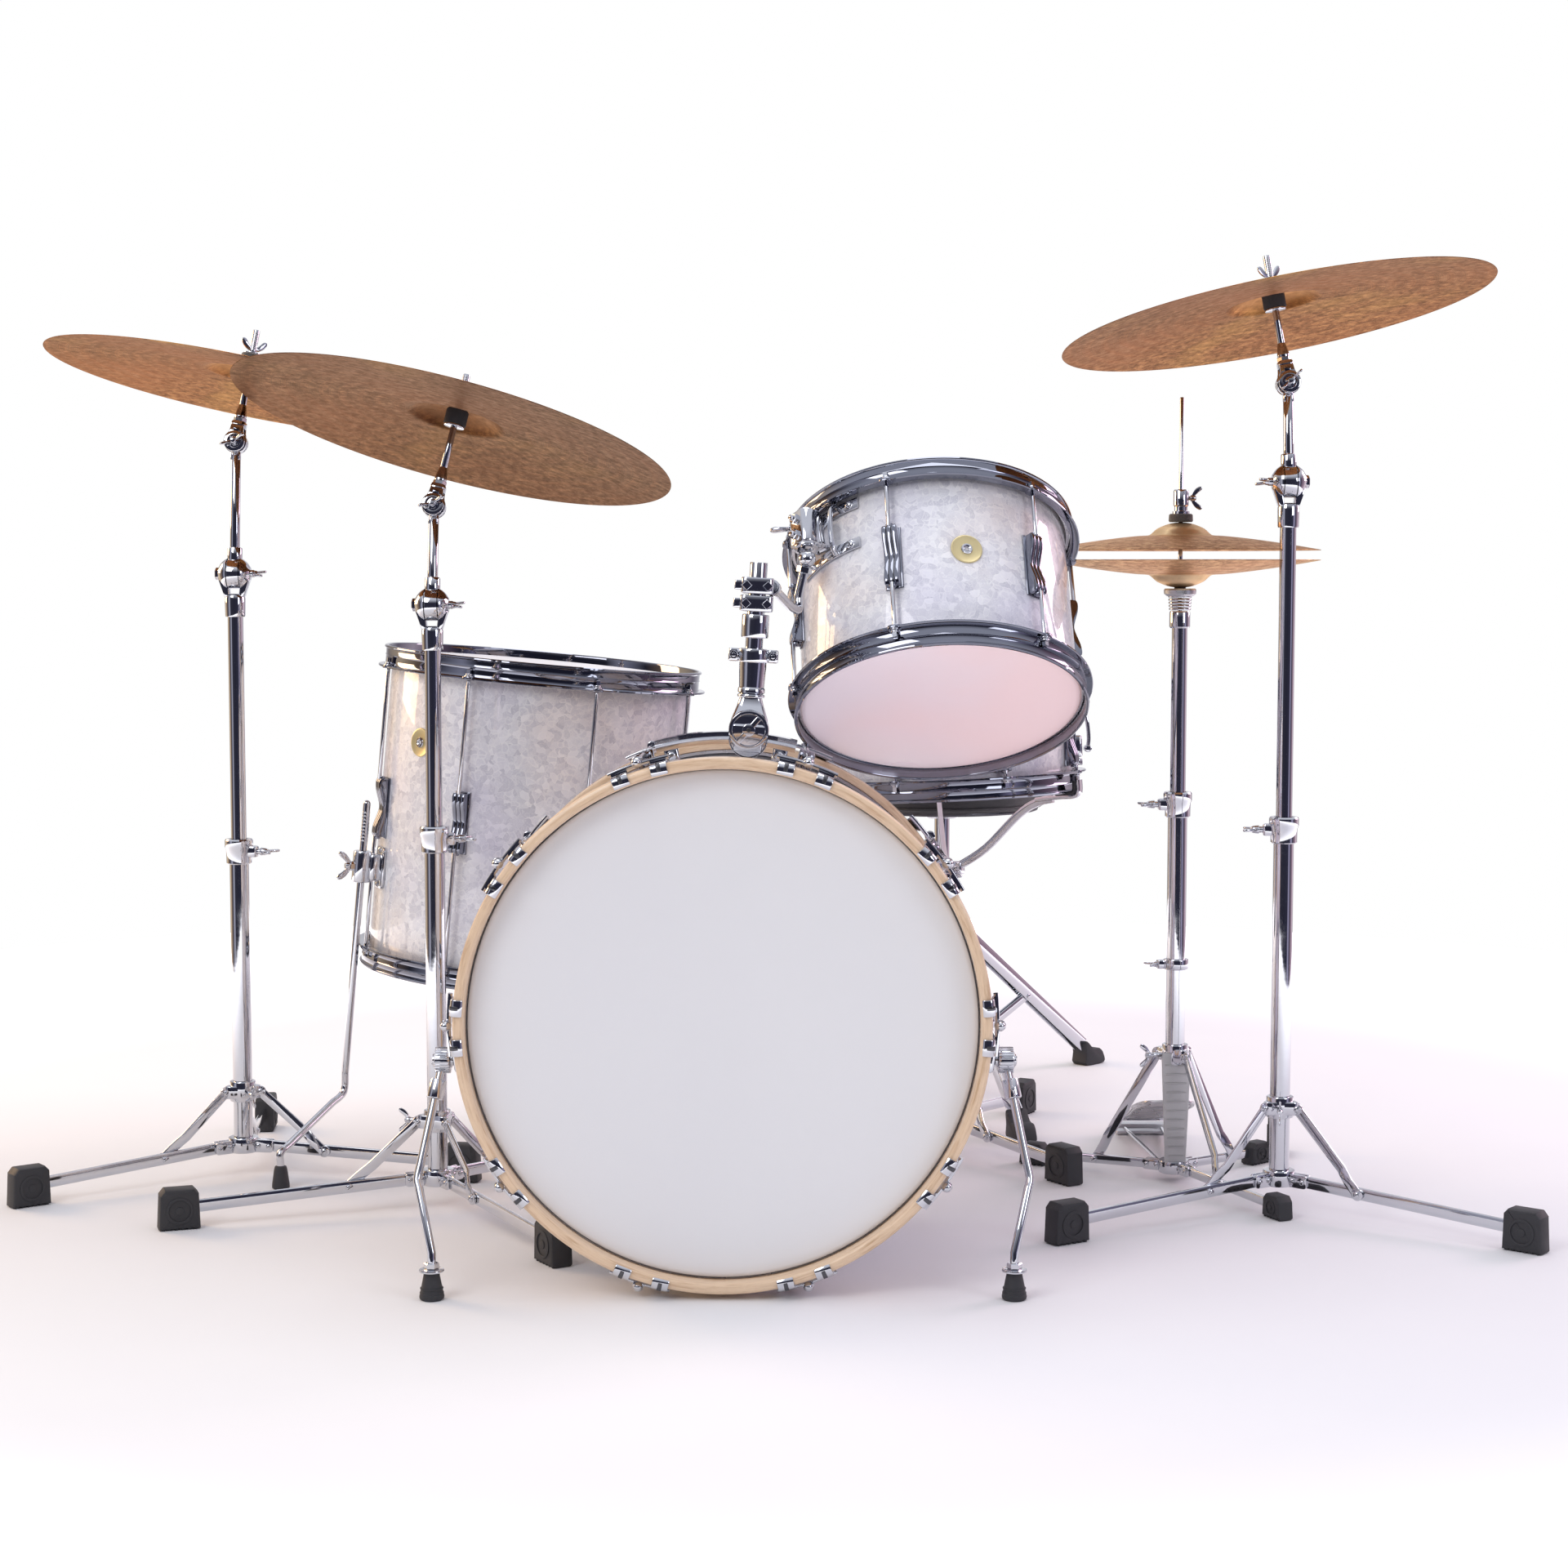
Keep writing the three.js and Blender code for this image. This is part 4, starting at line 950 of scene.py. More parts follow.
def tom_mount():
    axis = standing(joint_at("tom_rail_slide"))
    shape = Shape()
    angles = [math.radians(a) for a in range(-RAIL["half"], RAIL["half"] + 1)]
    line = [Vector((RAIL["radius"] * math.sin(a), 0, RAIL["radius"] * math.cos(a))) for a in angles]
    half, tall = RAIL["wide"] / 2, RAIL["tall"] / 2
    channel = [
        (-half, tall), (half, tall), (half, -tall), (half - 4, -tall), (half - 4, -1), (-half + 4, -1),
        (-half + 4, -tall), (-half, -tall)
    ]
    shape.sweep(channel, line, "chrome", side=BACK)
    shape.tube([p + Vector((0, -half, 0)) for p in line], 1.9, "chrome", sides=8)
    for side in (-1, 1):
        post = turn(side * (RAIL["half"] - 3), "Y")
        shape.brick(17, 22, 24, 2, "chrome", post @ move(0, 0, RAIL["radius"] - 17))
        shape.brick(24, 34, 5, 1.8, "chrome", post @ move(0, 0, 285.4))
        shape.bolt(4.4, 4, "chrome", post @ move(0, -11, RAIL["radius"] - 14) @ turn(90, "X"))
        shape.bolt(3.6, 3, "chrome", post @ move(0, -14, 287.6))
        shape.bolt(3.6, 3, "chrome", post @ move(0, 14, 287.6))
    stand_in("tom_rail", shape, axis)

    pivot = joint_at("tom_post_tilt")
    way = pivot - joint_at("tom_rail_slide")
    along = standing(joint_at("tom_rail_slide"), Vector((way.x, 0, way.z)))
    shape = Shape()
    saddle = RAIL["radius"]
    for end in (-1, 1):
        shape.brick(33, 5.5, 30, 1.8, "chrome", move(0, end * 16.6, saddle))
    shape.brick(33, 36, 6, 1.8, "chrome", move(0, 0, saddle + 11.6))
    shape.brick(26, 32, 5, 1.5, "chrome", move(0, 0, saddle - 12.4))
    disc = move(0, 0, saddle) @ turn(90, "X")
    depth = -way.y / MM
    shape.peg(22, 14, depth - 9, "chrome", disc, edge=2.5, sides=48)
    shape.collar(15, 22.6, depth - 14, depth - 10, "chrome", disc, edge=1)
    stand_in("tom_carriage", shape, along)

    column = standing(pivot, joint_axis("tom_height"))
    shape = Shape()
    front = turn(90, "X")
    shape.peg(23, 9.6, 23, "chrome", front, edge=2.2, sides=56)
    shape.collar(18.5, 22.6, 22.4, 25.4, "chrome", front, edge=1.2, sides=56)
    shape.peg(7.5, 23, 26.4, "chrome", front, edge=1.6)
    shape.peg(2.6, 26, 26.9, "dark_steel", front, edge=0.3)
    shape.brick(38, 6.4, 3.2, 1.2, "chrome", front @ turn(52) @ move(0, 0, 24.6))
    boot = [(22, 23.5, 4), (20.6, 23, 12), (15.5, 19.5, 26), (12.6, 17, 36), (12.6, 17, 40)]
    loops = []
    for half_wide, deep, height in boot:
        ring = rounded(half_wide * 2, deep, 6.5, 4)
        loops.append([(x, y - 14 + (13 if height > 30 else height * 0.42), height) for x, y in ring])
    shape.rings(loops, "chrome")
    shape.collar(9, 15.6, 36, 40, "chrome", edge=1.4)
    sleeve = [
        (10.8, 45), (13.2, 40), (15.4, 42), (15.4, 46), (14.2, 48), (15.2, 66), (15.6, 70), (15.6, 90),
        (14.6, 92), (10.8, 92)
    ]
    shape.lathe(sleeve, "chrome", sides=40)
    split_clamp(shape, move(z=84), 15.4, 15)
    stand_in("tom_post", shape, column)

    shape = Shape()
    shape.collar(8.6, 10, 52, 190, "chrome", edge=0.8)
    # A dark plug just inside the top of the tube: painted shade in its mouth.
    shape.peg(8.7, 180, 188.6, "dark_steel", edge=0.5)
    shape.collar(10, 15.6, 104, 131, "chrome", edge=1.6)
    shape.plate(rounded(38, 30, 6, 3), 134, 152.6, 2, "chrome")
    for side in (-1, 1):
        shape.nut(6, 0, 6, "chrome", move(side * 12, -15, 143) @ turn(90, "X"), corners=4)
    shape.brick(9, 9, 11, 1.2, "chrome", move(-22, -6, 143))
    stand_in("tom_column", shape, column)
    return column


def split_clamp(shape, place, radius, tall):
    """A band clamp round a tube, with a bolt through the ears at each side."""
    shape.collar(radius - 1, radius + 3, -tall / 2, tall / 2, "chrome", place, edge=1.2)
    for side in (-1, 1):
        ear = place @ move(side * (radius + 7), 0, 0)
        shape.brick(12, 15, tall, 1.8, "chrome", ear)
        shape.nut(5.2, 0, 4.2, "chrome", ear @ move(y=-7) @ turn(90, "X"))
        shape.peg(2.6, 3, 6.5, "chrome", ear @ move(y=-7) @ turn(90, "X"), edge=0.5)
        shape.nut(5.2, 0, 4.2, "chrome", ear @ move(y=7) @ turn(-90, "X"))


def tom_arm(column):
    tilt = column.inverted() @ joint_at("tom_tilt") / MM
    inverse = column.inverted().to_3x3()
    corner = tilt + inverse @ Vector((-14, 0, -62))
    first = Vector((16, -2, 163))
    shape = Shape()
    turned_in = smooth(
        [corner + (first - corner) * 0.22, corner + Vector((3, 0, 3)), corner + (tilt - corner) * 0.3], 6
    )
    shape.tube([first] + turned_in + [tilt - (tilt - corner) * 0.05], 5.6, "chrome", sides=18)
    shape.plate(rounded(37, 31, 6, 3), 154.2, 173, 2, "chrome")
    for side in (-1, 1):
        shape.nut(6, 0, 6, "chrome", move(side * 12, -15.5, 163.5) @ turn(90, "X"), corners=4)
    shape.brick(9, 9, 11, 1.2, "chrome", move(-21.6, -6, 163.5))
    shape.collar(5.6, 9, 0, 12, "chrome", standing(first, corner - first), edge=1.4)
    shape.ball(10.4, "chrome", move(*tilt), sides=28)
    shape.nut(9.4, -18, -9, "chrome", standing(tilt, tilt - corner))
    stand_in("tom_arm", shape, column)


# ---------------------------------------------------------------- floor tom
LEG_ANGLES = (204, 330, 85)
LEG_RADIUS = 230
LEG_FEET = ((-307, -220), (182, -137), (-7, 277))
LEG_ROD = 4.9
LEG_TOP = 4
LEG_KNEE = -385
LEG_ANKLE = 46
BRACKET_Z = -80


def floor_tom(drum):
    def brackets(shape):
        for angle in LEG_ANGLES:
            place = turn(angle) @ move(drum.radius, 0, BRACKET_Z)
            shape.plate(rounded(56, 36, 8, 4), -0.5, 3.5, 1.4, "chrome", place @ turn(90, "Y"))
            shape.brick(19, 26, 36, 4, "chrome", place @ move(10.5))
            body = turn(angle) @ move(LEG_RADIUS, 0, BRACKET_Z)
            shape.collar(6, 12.5, -21, 21, "chrome", body, edge=2.2)
            shape.nut(6.4, 10, 17, "chrome", body @ turn(90, "Y"))
            shape.wing_nut("chrome", body @ move(14, 0, 0) @ turn(90, "Y"), 19)
            for end in (-1, 1):
                shape.bolt(3.6, 3, "chrome", place @ move(3.4, 0, end * 23) @ turn(90, "Y"))

    def extras(shape):
        brackets(shape)
        badge(shape, drum, 227, 96)

    drum_shell(drum, extras)
    heads_and_hoops(drum, "floor_tom_bottom_head", "head_white")
    centre = on_floor(drum.place.translation)
    for i, (angle, (foot_x, foot_y)) in enumerate(zip(LEG_ANGLES, LEG_FEET)):
        node = f"floor_tom_leg_{i + 1}"
        spot = standing(centre)
        local = spot.inverted() @ drum.place
        top, knee = (local @ (polar(LEG_RADIUS, angle, z) * MM) / MM for z in (LEG_TOP, LEG_KNEE))
        foot = Vector((foot_x, foot_y, 0))
        ankle = foot + Vector((0, 0, LEG_ANKLE))
        bend = smooth([knee + (top - knee) * 0.07, knee, knee + (ankle - knee) * 0.18], 5)
        low = smooth([ankle + (knee - ankle) * 0.12, ankle, foot + Vector((0, 0, 34))], 4)
        shape = Shape()
        shape.tube([top] + bend + low + [foot + Vector((0, 0, 18))], LEG_ROD, "chrome", sides=16)
        shape.ball(LEG_ROD, "chrome", move(*top), sides=14)
        for ring in range(9):
            mark = top.lerp(knee, 0.03 + 0.012 * ring)
            shape.collar(4.6, 5.15, -1, 1, "chrome", standing(mark, top - knee), edge=0.4, sides=16)
        boot = [(0, 0), (9.5, 0), (11.4, 1.5), (11.2, 6), (8.6, 25), (7.4, 29), (5, 30), (0, 30)]
        shape.lathe(boot, "rubber", move(*foot), 32)
        stand_in(node, shape, spot)


# ---------------------------------------------------------------- snare drum and its stand
STRAINER = {"pivot": 22, "z": -20}


def snare_drum(drum):
    radius, half = drum.radius, drum.half

    def fittings(shape):
        shape.plate(rounded(60, 34, 5, 3), 0.5, 5, 1.4, "chrome", move(radius) @ turn(90, "Y"))
        shape.brick(14, 28, 30, 2.4, "chrome", move(radius + 7, 0, -16))
        shape.peg(6, 0, 9, "chrome", move(radius + 8, 0, -33) @ turn(180, "X"), edge=1)
        for groove in range(12):
            shape.brick(1.4, 1.6, 9, 0.4, "chrome", move(radius + 8, 0, -38) @ turn(30 * groove) @ move(6))
        butt = turn(180) @ move(radius)
        shape.plate(rounded(32, 30, 5, 3), 0.5, 9, 2, "chrome", butt @ turn(90, "Y"))
        for side in (-1, 1):
            shape.bolt(3, 2.5, "chrome", butt @ move(9, side * 8, 0) @ turn(90, "Y"))
        badge(shape, drum, 270 + 22.5, 14)

    drum_shell(drum, fittings)
    heads_and_hoops(drum, "snare_side_head", "head_clear")

    shape = Shape()
    lever = move(radius + STRAINER["pivot"], 0, STRAINER["z"])
    shape.peg(5, -12, 12, "chrome", lever @ turn(90, "X"), edge=1)
    handle = smooth([(0, 0, 0), (2.2, 0, 14), (1.2, 0, 34), (-1.4, 0, 50), (0.6, 0, 58)], 4)
    shape.sweep(rounded(14, 4.6, 1.8, 2), handle, "chrome", side=BACK, place=lever)
    stand_in("snare_strainer_lever", shape, drum.place)

    wires = Shape()
    low = -half - 2.6
    for wire in range(20):
        y = -19 + 2 * wire
        wires.tube([(-radius + 34, y, low), (radius - 34, y, low)], 0.7, "steel_wire", sides=6)
    for side in (-1, 1):
        wires.brick(15, 44, 1.4, 0.5, "flesh_hoop", move(side * (radius - 33), 0, low))
        wires.brick(44, 24, 0.5, 0.15, "frosted", move(side * (radius - 14), 0, low))
    make("snare_wires", wires, drum.place, "snare", "steel_wire")

    shape = Shape()
    under = -half - 12.4
    shape.peg(15, -200, -168, "chrome", edge=3, sides=40)
    shape.collar(14, 17, -190, -178, "chrome", edge=1.2)
    for angle in (90, 210, 330):
        place = turn(angle)
        shape.brick(20, 15, 18, 2, "chrome", place @ move(15, 0, -176))
        shape.bolt(4, 3, "chrome", place @ move(17, -7.5, -176) @ turn(90, "X"))
        rise = smooth(
            [(14, 0, -176), (60, 0, -150), (112, 0, -104), (140, 0, under - 12), (164, 0, under - 7)], 5
        )
        shape.sweep(rounded(8, 11, 2.4, 2), rise, "chrome", side=BACK, place=place)
        shelf = smooth(
            [
                (140, 0, under - 8), (175, 0, under - 5), (196, 0, under - 4), (202.5, 0, under + 2),
                (202.8, 0, under + 18)
            ],
            4
        )
        shape.sweep(rounded(13, 6, 2, 2), shelf, "chrome", side=BACK, place=place)
        pad = smooth(
            [(170, 0, under + 0.4), (190, 0, under + 0.6), (197.6, 0, under + 4), (198.2, 0, under + 17)], 4
        )
        shape.sweep(rounded(17, 5.4, 2.2, 2), pad, "rubber", side=BACK, place=place)
    shape.peg(8, -212, -198, "chrome", edge=2)
    shape.wing_nut("chrome", move(0, -15, -186) @ turn(90, "X"), 19)
    stand_in("snare_basket", shape, drum.place)


# ---------------------------------------------------------------- stands
FOOT = {"long": 50, "tall": 50, "wide": 27}
LEG_BAR = {"tall": 15, "thick": 6}
TUBE = {"outer": 12.5, "inner": 10}
# Where a stand's brace meets its leg, from the middle of the stand.
BRACE_AT = 112


def rubber_foot(shape, place, long=50, wide=27, tall=50):
    """A square rubber shoe with a plain ring moulded in each cheek and a ribbed sole."""
    side = [
        (-long / 2, 1.5), (long / 2, 1.5), (long / 2 - 2, tall - 7), (long / 2 - 8, tall),
        (-long / 2 + 7, tall), (-long / 2 + 1.5, tall - 6)
    ]
    outline = []
    for i, (x, z) in enumerate(side):
        here = Vector((x, z))
        before, after = Vector(side[i - 1]), Vector(side[(i + 1) % len(side)])
        outline += [tuple(here.lerp(before, 0.09)), tuple(here), tuple(here.lerp(after, 0.09))]
    shape.plate(outline, -wide / 2, wide / 2, 3.2, "rubber", place @ turn(90, "X"))
    for face in (-1, 1):
        cheek = place @ move(0, face * (wide / 2 - 0.4), tall * 0.48) @ turn(-90 * face, "X")
        shape.collar(tall * 0.26, tall * 0.33, 0, 1.6, "rubber", cheek, edge=0.6)
        shape.peg(tall * 0.1, 0, 1.4, "rubber", cheek, edge=0.5)
    for rib in range(6):
        x = (rib - 2.5) * long / 6.4
        shape.brick(long / 12, wide * 0.86, 3, 0.7, "rubber", place @ move(x, 0, 1.5))


def clamp_collar(shape, low, high, radius, facing, span=20.0, bore=TUBE["outer"]):
    """A cast collar with a lip at the top, a boss on one side and a wing screw through it."""
    middle = (low + high) / 2
    body = [(bore - 1.6, low), (radius - 3, low), (radius - 1.6, low + 1.4), (radius - 1.4, middle + 2)]
    body += [(radius + 0.4, middle + 6), (radius + 0.4, high - 2), (radius - 1, high), (bore - 1.6, high)]
    shape.lathe(body, "chrome", sides=40)
    spot = turn(facing) @ move(0, 0, middle)
    shape.brick(16, 15, 15, 2.6, "chrome", spot @ move(radius))
    shape.peg(4, radius + 6, radius + 16, "chrome", spot @ turn(90, "Y"), edge=0.6)
    shape.wing_nut("chrome", spot @ move(radius + 12) @ turn(90, "Y") @ turn(90), span)


def leg_and_brace(shape, place, reach, hub, collar, shoe, bar):
    """A flat leg on edge in a bolted fork, with a flat brace from the collar down to its side."""
    heel = shoe["tall"] / 2

    def height(distance):
        return hub + (heel - hub) * distance / reach

    section = rounded(bar["thick"], bar["tall"], 1.3, 2)
    shape.sweep(
        section, [(12, 0, hub), (reach - 6, 0, height(reach - 6))], "chrome", side=BACK, place=place
    )
    for side in (-1, 1):
        cheek = place @ move(25, side * (bar["thick"] / 2 + 1.6), height(25)) @ turn(90, "X")
        shape.plate(rounded(34, bar["tall"] + 2, 4, 3), -1.5, 1.5, 0.7, "chrome", cheek)
        for spot in (22, 36):
            shape.bolt(
                3, 2.4, "chrome",
                place @ move(spot, side * (bar["thick"] / 2 + 3), height(spot)) @ turn(-90 * side, "X")
            )
    shift = bar["thick"] / 2 + 2.2
    end = Vector((BRACE_AT, -shift, height(BRACE_AT)))
    start = Vector((24, 0, collar))
    way = (end - start).normalized()
    low_bend = Vector((end.x, 0, end.z)) - way * 30
    strap = [start, low_bend - way * 8, low_bend + Vector((0, -shift * 0.5, 0)), end - way * 18, end]
    shape.sweep(rounded(3.2, 13, 1.2, 2), strap, "chrome", side=BACK, place=place)
    for tip in (start, end):
        eye = place @ move(*tip) @ turn(90, "X")
        shape.peg(7.6, -1.7, 1.7, "chrome", eye, edge=0.6)
        shape.bolt(3.8, 3.2, "chrome", eye @ move(z=1.6))
        shape.bolt(3.8, 3.2, "chrome", eye @ turn(180, "X") @ move(z=1.6 if tip is start else 8))
    rubber_foot(shape, place @ move(reach), shoe["long"], shoe["wide"], shoe["tall"])


def tripod(shape, legs, reach, collar, clamp, hub=41, bar=LEG_BAR, shoe=FOOT, wing=180, screw=200):
    """Tube, hub, three legs, the sliding collar that holds the braces, and the height clamp."""
    inner = TUBE["inner"] + 0.7
    outer = TUBE["outer"]
    pipe = [
        (inner, hub + 16), (inner, clamp - 1), (inner + 0.6, clamp), (outer - 0.6, clamp),
        (outer, clamp - 0.8)
    ]
    pipe += [(outer, hub), (inner, hub)]
    shape.lathe(pipe, "chrome", sides=48)
    shape.peg(inner + 0.2, hub - 8, hub + 16, "dark_steel", edge=0.4)
    low = hub - bar["tall"] / 2 - 2.5
    shape.collar(outer - 1, 20, low, hub + bar["tall"] / 2 + 2.5, "chrome", edge=2)
    shape.peg(18.6, low - 0.4, low + 3, "chrome", edge=1.6)
    lobes = []
    for step in range(72):
        angle = step * 5
        swell = sum(math.exp(-((((angle - leg + 180) % 360) - 180) / 24) ** 2) for leg in legs)
        lobes.append(tuple(polar(16.5 + 8.5 * min(swell, 1), angle)[:2]))
    shape.plate(lobes, collar - 8.5, collar + 8.5, 1.8, "chrome")
    shape.collar(outer - 0.5, 17, collar - 13, collar + 14, "chrome", edge=1.8)
    spot = turn(screw) @ move(16, 0, collar)
    shape.peg(3.2, 0, 22, "chrome", spot @ turn(90, "Y"), edge=0.5)
    shape.wing_nut("chrome", spot @ move(18) @ turn(90, "Y"), 15)
    clamp_collar(shape, clamp - 33, clamp, 18, wing)
    for angle, length in zip(legs, reach):
        leg_and_brace(shape, turn(angle), length, hub, collar, shoe, bar)


STANDS = {
    "front_left": {
        "legs": (199, 301.5, 55), "reach": 320, "collar": 112, "clamp": 482, "wing": 15, "screw": 175,
        "rise": 128, "radius": 11 * INCH, "knob": 0, "metal": "dark_bronze"
    },
    "rear_left": {
        "legs": (217, 352, 95), "reach": 296, "collar": 112, "clamp": 447, "wing": 350, "screw": 300,
        "rise": 106, "radius": 10.25 * INCH, "knob": 0
    },
    "right": {
        "legs": (211, 320, 80), "reach": 330, "collar": 130, "clamp": 494, "wing": 170, "screw": 260,
        "rise": 116, "radius": 10.5 * INCH, "knob": 180
    },
}
DOME = 34
# The boom's tube stops this far from the tilter's pivot, so that the jaws turn past it.
BOOM_SHORT = 14.5
# Half the distance between the middles of a tilter's two jaws.
JAW_OFFSET = 8.4


def cymbal(shape, radius, place=None, metal="bronze"):
    """Bell, bow and thin edge, its bell's underside at Z = 0."""
    bell = 0.21 * radius
    under = [
        (6.2, 0), (bell * 0.45, -0.06 * DOME), (bell * 0.8, -0.22 * DOME), (bell, -0.41 * DOME),
        (bell * 1.12, -0.475 * DOME)
    ]
    steps = 12
    for i in range(1, steps + 1):
        share = i / steps
        r = bell * 1.12 + (radius - bell * 1.12) * share
        under.append((r, -DOME * (0.475 + 0.525 * share**1.35)))
    under = flat_curve(under, 3)
    count = len(under)
    over = [(r, z + 1.7 - 0.9 * i / count) for i, (r, z) in enumerate(under)]
    rim = [(radius + 0.35, -DOME + 0.4)]
    shape.lathe(under + rim + list(reversed(over)), metal, place, sides=160)


def cymbal_stand(name, spec):
    base = Shape()
    tripod(
        base, spec["legs"], [spec["reach"]] * 3, spec["collar"], spec["clamp"], wing=spec["wing"],
        screw=spec["screw"]
    )
    foot = on_floor(joint_at(f"{name}_stand_height"))
    stand_in(f"{name}_stand_base", base, standing(foot))

    ball = joint_at(f"{name}_boom_tilt")
    high = (ball.z - foot.z) / MM
    tube = Shape()
    inner = TUBE["inner"]
    low, top = spec["clamp"] - 160, high - 30
    tube.lathe([(8.2, low), (inner, low), (inner, top), (8.2, top)], "chrome", sides=40)
    throat = [
        (0, high - 56), (12.4, high - 56), (13, high - 54), (13.4, high - 32), (12.2, high - 28),
        (9, high - 26), (0, high - 26)
    ]
    tube.lathe(throat, "chrome", sides=36)
    across = move(0, 0, high) @ turn(90, "Y")
    for side in (-1, 1):
        bulge = [(22 * math.cos(a), 22 * math.sin(a)) for a in (0.45, 0.6, 0.78, 0.96, 1.12)]
        cheek = [(0, 8.8), (20.0, 8.8)] + bulge + [(8.6, 20.6), (0, 20.8)]
        cheek = cheek if side > 0 else [(r, -z) for r, z in cheek]
        tube.lathe(cheek, "chrome", across, 48)
        web = [(side * 9, -4), (side * 20, -8), (side * 12.5, -30), (side * 6, -30)]
        tube.plate(web, -9, 9, 2, "chrome", move(0, 0, high) @ turn(90, "X"))
    knob = spec["knob"]
    screw = move(0, 0, high) @ turn(knob) @ turn(90, "Y")
    tube.peg(5, 18, 26, "chrome", screw, edge=1)
    tube.wing_nut("chrome", screw @ move(z=22) @ turn(100), 17)
    tube.nut(8, 18, 25, "chrome", move(0, 0, high) @ turn(knob + 180) @ turn(90, "Y"))
    stand_in(f"{name}_stand_tube", tube, standing(foot))

    tilter_at = joint_at(f"{name}_tilter_turn")
    boom = Shape()
    length = (tilter_at - ball).length / MM
    frame_boom = standing(ball, tilter_at - ball, joint_axis(f"{name}_boom_tilt"))
    boom.peg(19.6, -7.8, 7.8, "chrome", turn(90, "Y"), edge=0.7, sides=48)
    boom.collar(6, 9.6, 16, 34, "chrome", edge=1.4)
    boom.peg(6.4, 12, length - BOOM_SHORT, "chrome", edge=0.4, sides=32)
    eye = move(0, 0, length) @ turn(90, "X")
    boom.peg(14.6, -4.8, 4.8, "chrome", eye, edge=1.2, sides=44)
    boom.brick(13, 11, 14, 2, "chrome", move(0, 0, length - 17))
    stand_in(f"{name}_boom", boom, frame_boom)

    y_axis = joint_axis(f"{name}_tilter_turn")
    x_axis = joint_axis(f"{name}_cymbal_sway")
    frame_tilter = standing(tilter_at, x_axis.cross(y_axis), x_axis)
    tilter_piece(name, spec, frame_tilter)
    plate = Shape()
    cymbal(plate, spec["radius"], metal=spec.get("metal", "bronze"))
    centre = joint_at(f"{name}_cymbal_sway")
    stand_in(f"{name}_cymbal", plate, standing(centre, x_axis.cross(y_axis), x_axis), "bronze")


def tilter_piece(name, spec, place):
    """Jaws that grip the boom's disc, a short neck, the cymbal's post, its seats and wing nut."""
    rise = spec["rise"]
    shape = Shape()
    for side in (-1, 1):
        jaw = [(-8, 22), (-9, 14), (-12, 5), (-12.6, -2), (-9, -9.5), (0, -12.6)]
        jaw += [(-x, z) for x, z in reversed(jaw[:-1])]
        cheek = move(0, side * JAW_OFFSET, 0) @ turn(-90 * side, "X")
        shape.plate([(x, -side * z) for x, z in jaw], -2.8, 2.8, 1.2, "chrome", cheek)
        shape.collar(8.4, 13.8, 1.6, 5.4, "chrome", cheek, edge=1.3, sides=44)
        shape.peg(6.2, 2, 5.6, "chrome", cheek, edge=1.2)
        # A small block in the darkened chrome on each cheek: painted dark reflection.
        shape.brick(8, 5, 2.4, 0.8, "deep_chrome", cheek @ move(0, -side * 16, 3))
    shape.brick(18, 21, 10, 2.6, "chrome", move(0, 0, 23))
    shape.nut(8.6, 27, 33, "chrome")
    shape.wing_nut("chrome", move(0, -13.5, 0) @ turn(90, "X") @ turn(35), 17)
    shape.nut(6, 13, 18, "chrome", turn(-90, "X"))
    neck = [(0, 32), (7.2, 32), (7.6, 35), (6.6, 42), (5.4, 47), (4.6, 50), (0, 50)]
    shape.lathe(neck, "chrome", sides=32)
    shape.peg(4.3, 44, rise + 44, "chrome", edge=0.7)
    for thread in range(14):
        shape.collar(
            4.1, 4.6, rise + 18 + 1.7 * thread, rise + 19 + 1.7 * thread, "chrome", edge=0.3, sides=20
        )
    shape.collar(4, 13, rise - 25, rise - 22.4, "chrome", edge=0.8)
    cup = [
        (4.2, rise - 22), (13.6, rise - 22), (14, rise - 21), (14, rise - 4.4), (12.6, rise - 2.6),
        (4.2, rise - 2.6)
    ]
    shape.lathe(cup, "rubber", sides=40)
    shape.collar(4.2, 5.8, rise - 3, rise + 8, "rubber", edge=0.4, sides=24)
    pad = [
        (4.4, rise + 4.4), (13.4, rise + 4.4), (14, rise + 5.4), (13.6, rise + 10.6), (12, rise + 12),
        (4.4, rise + 12)
    ]
    shape.lathe(pad, "felt", sides=40)
    shape.collar(4.2, 11, rise + 12, rise + 13.6, "chrome", edge=0.5)
    shape.wing_nut("chrome", move(0, 0, rise + 14) @ turn(28), 17)
    stand_in(f"{name}_tilter", shape, place)


# The snare stand's tube: its low end clears the disc of the brace collar when it is let right down.
SNARE_TUBE = {"low": 192, "top": 358, "radius": 10}
SNARE_STAND = {"legs": (304, 60, 180), "reach": 268, "collar": 130, "clamp": 280}


def snare_stand():
    base = Shape()
    legs, reach = SNARE_STAND["legs"], [SNARE_STAND["reach"]] * 3
    tripod(base, legs, reach, SNARE_STAND["collar"], SNARE_STAND["clamp"], wing=200, screw=250)
    spot = standing(on_floor(joint_at("snare_height")))
    stand_in("snare_stand_base", base, spot)
    tube = Shape()
    low, top, radius = SNARE_TUBE["low"], SNARE_TUBE["top"], SNARE_TUBE["radius"]
    tube.lathe(
        [
            (0, low), (radius - 0.8, low), (radius, low + 1), (radius, top - 1), (radius - 0.8, top),
            (0, top)
        ],
        "chrome", sides=40
    )
    stand_in("snare_stand_tube", tube, spot)


# ---------------------------------------------------------------- hi-hat
HAT = {
    "legs": (295.4, 40, 150), "reach": (231, 165, 200), "hub": 20, "collar": 168, "stop": 287, "clamp": 512,
    "tube_top": 746, "seat": 778, "rim": 812, "open": 12, "radius": 7 * INCH, "rod_low": 570, "rod_top": 1020,
    "bar": {"tall": 12, "thick": 6}, "shoe": {"long": 38, "tall": 30, "wide": 22},
    "heel": (0, 300, 24), "toe": (0, 42, 96), "board": 80
}


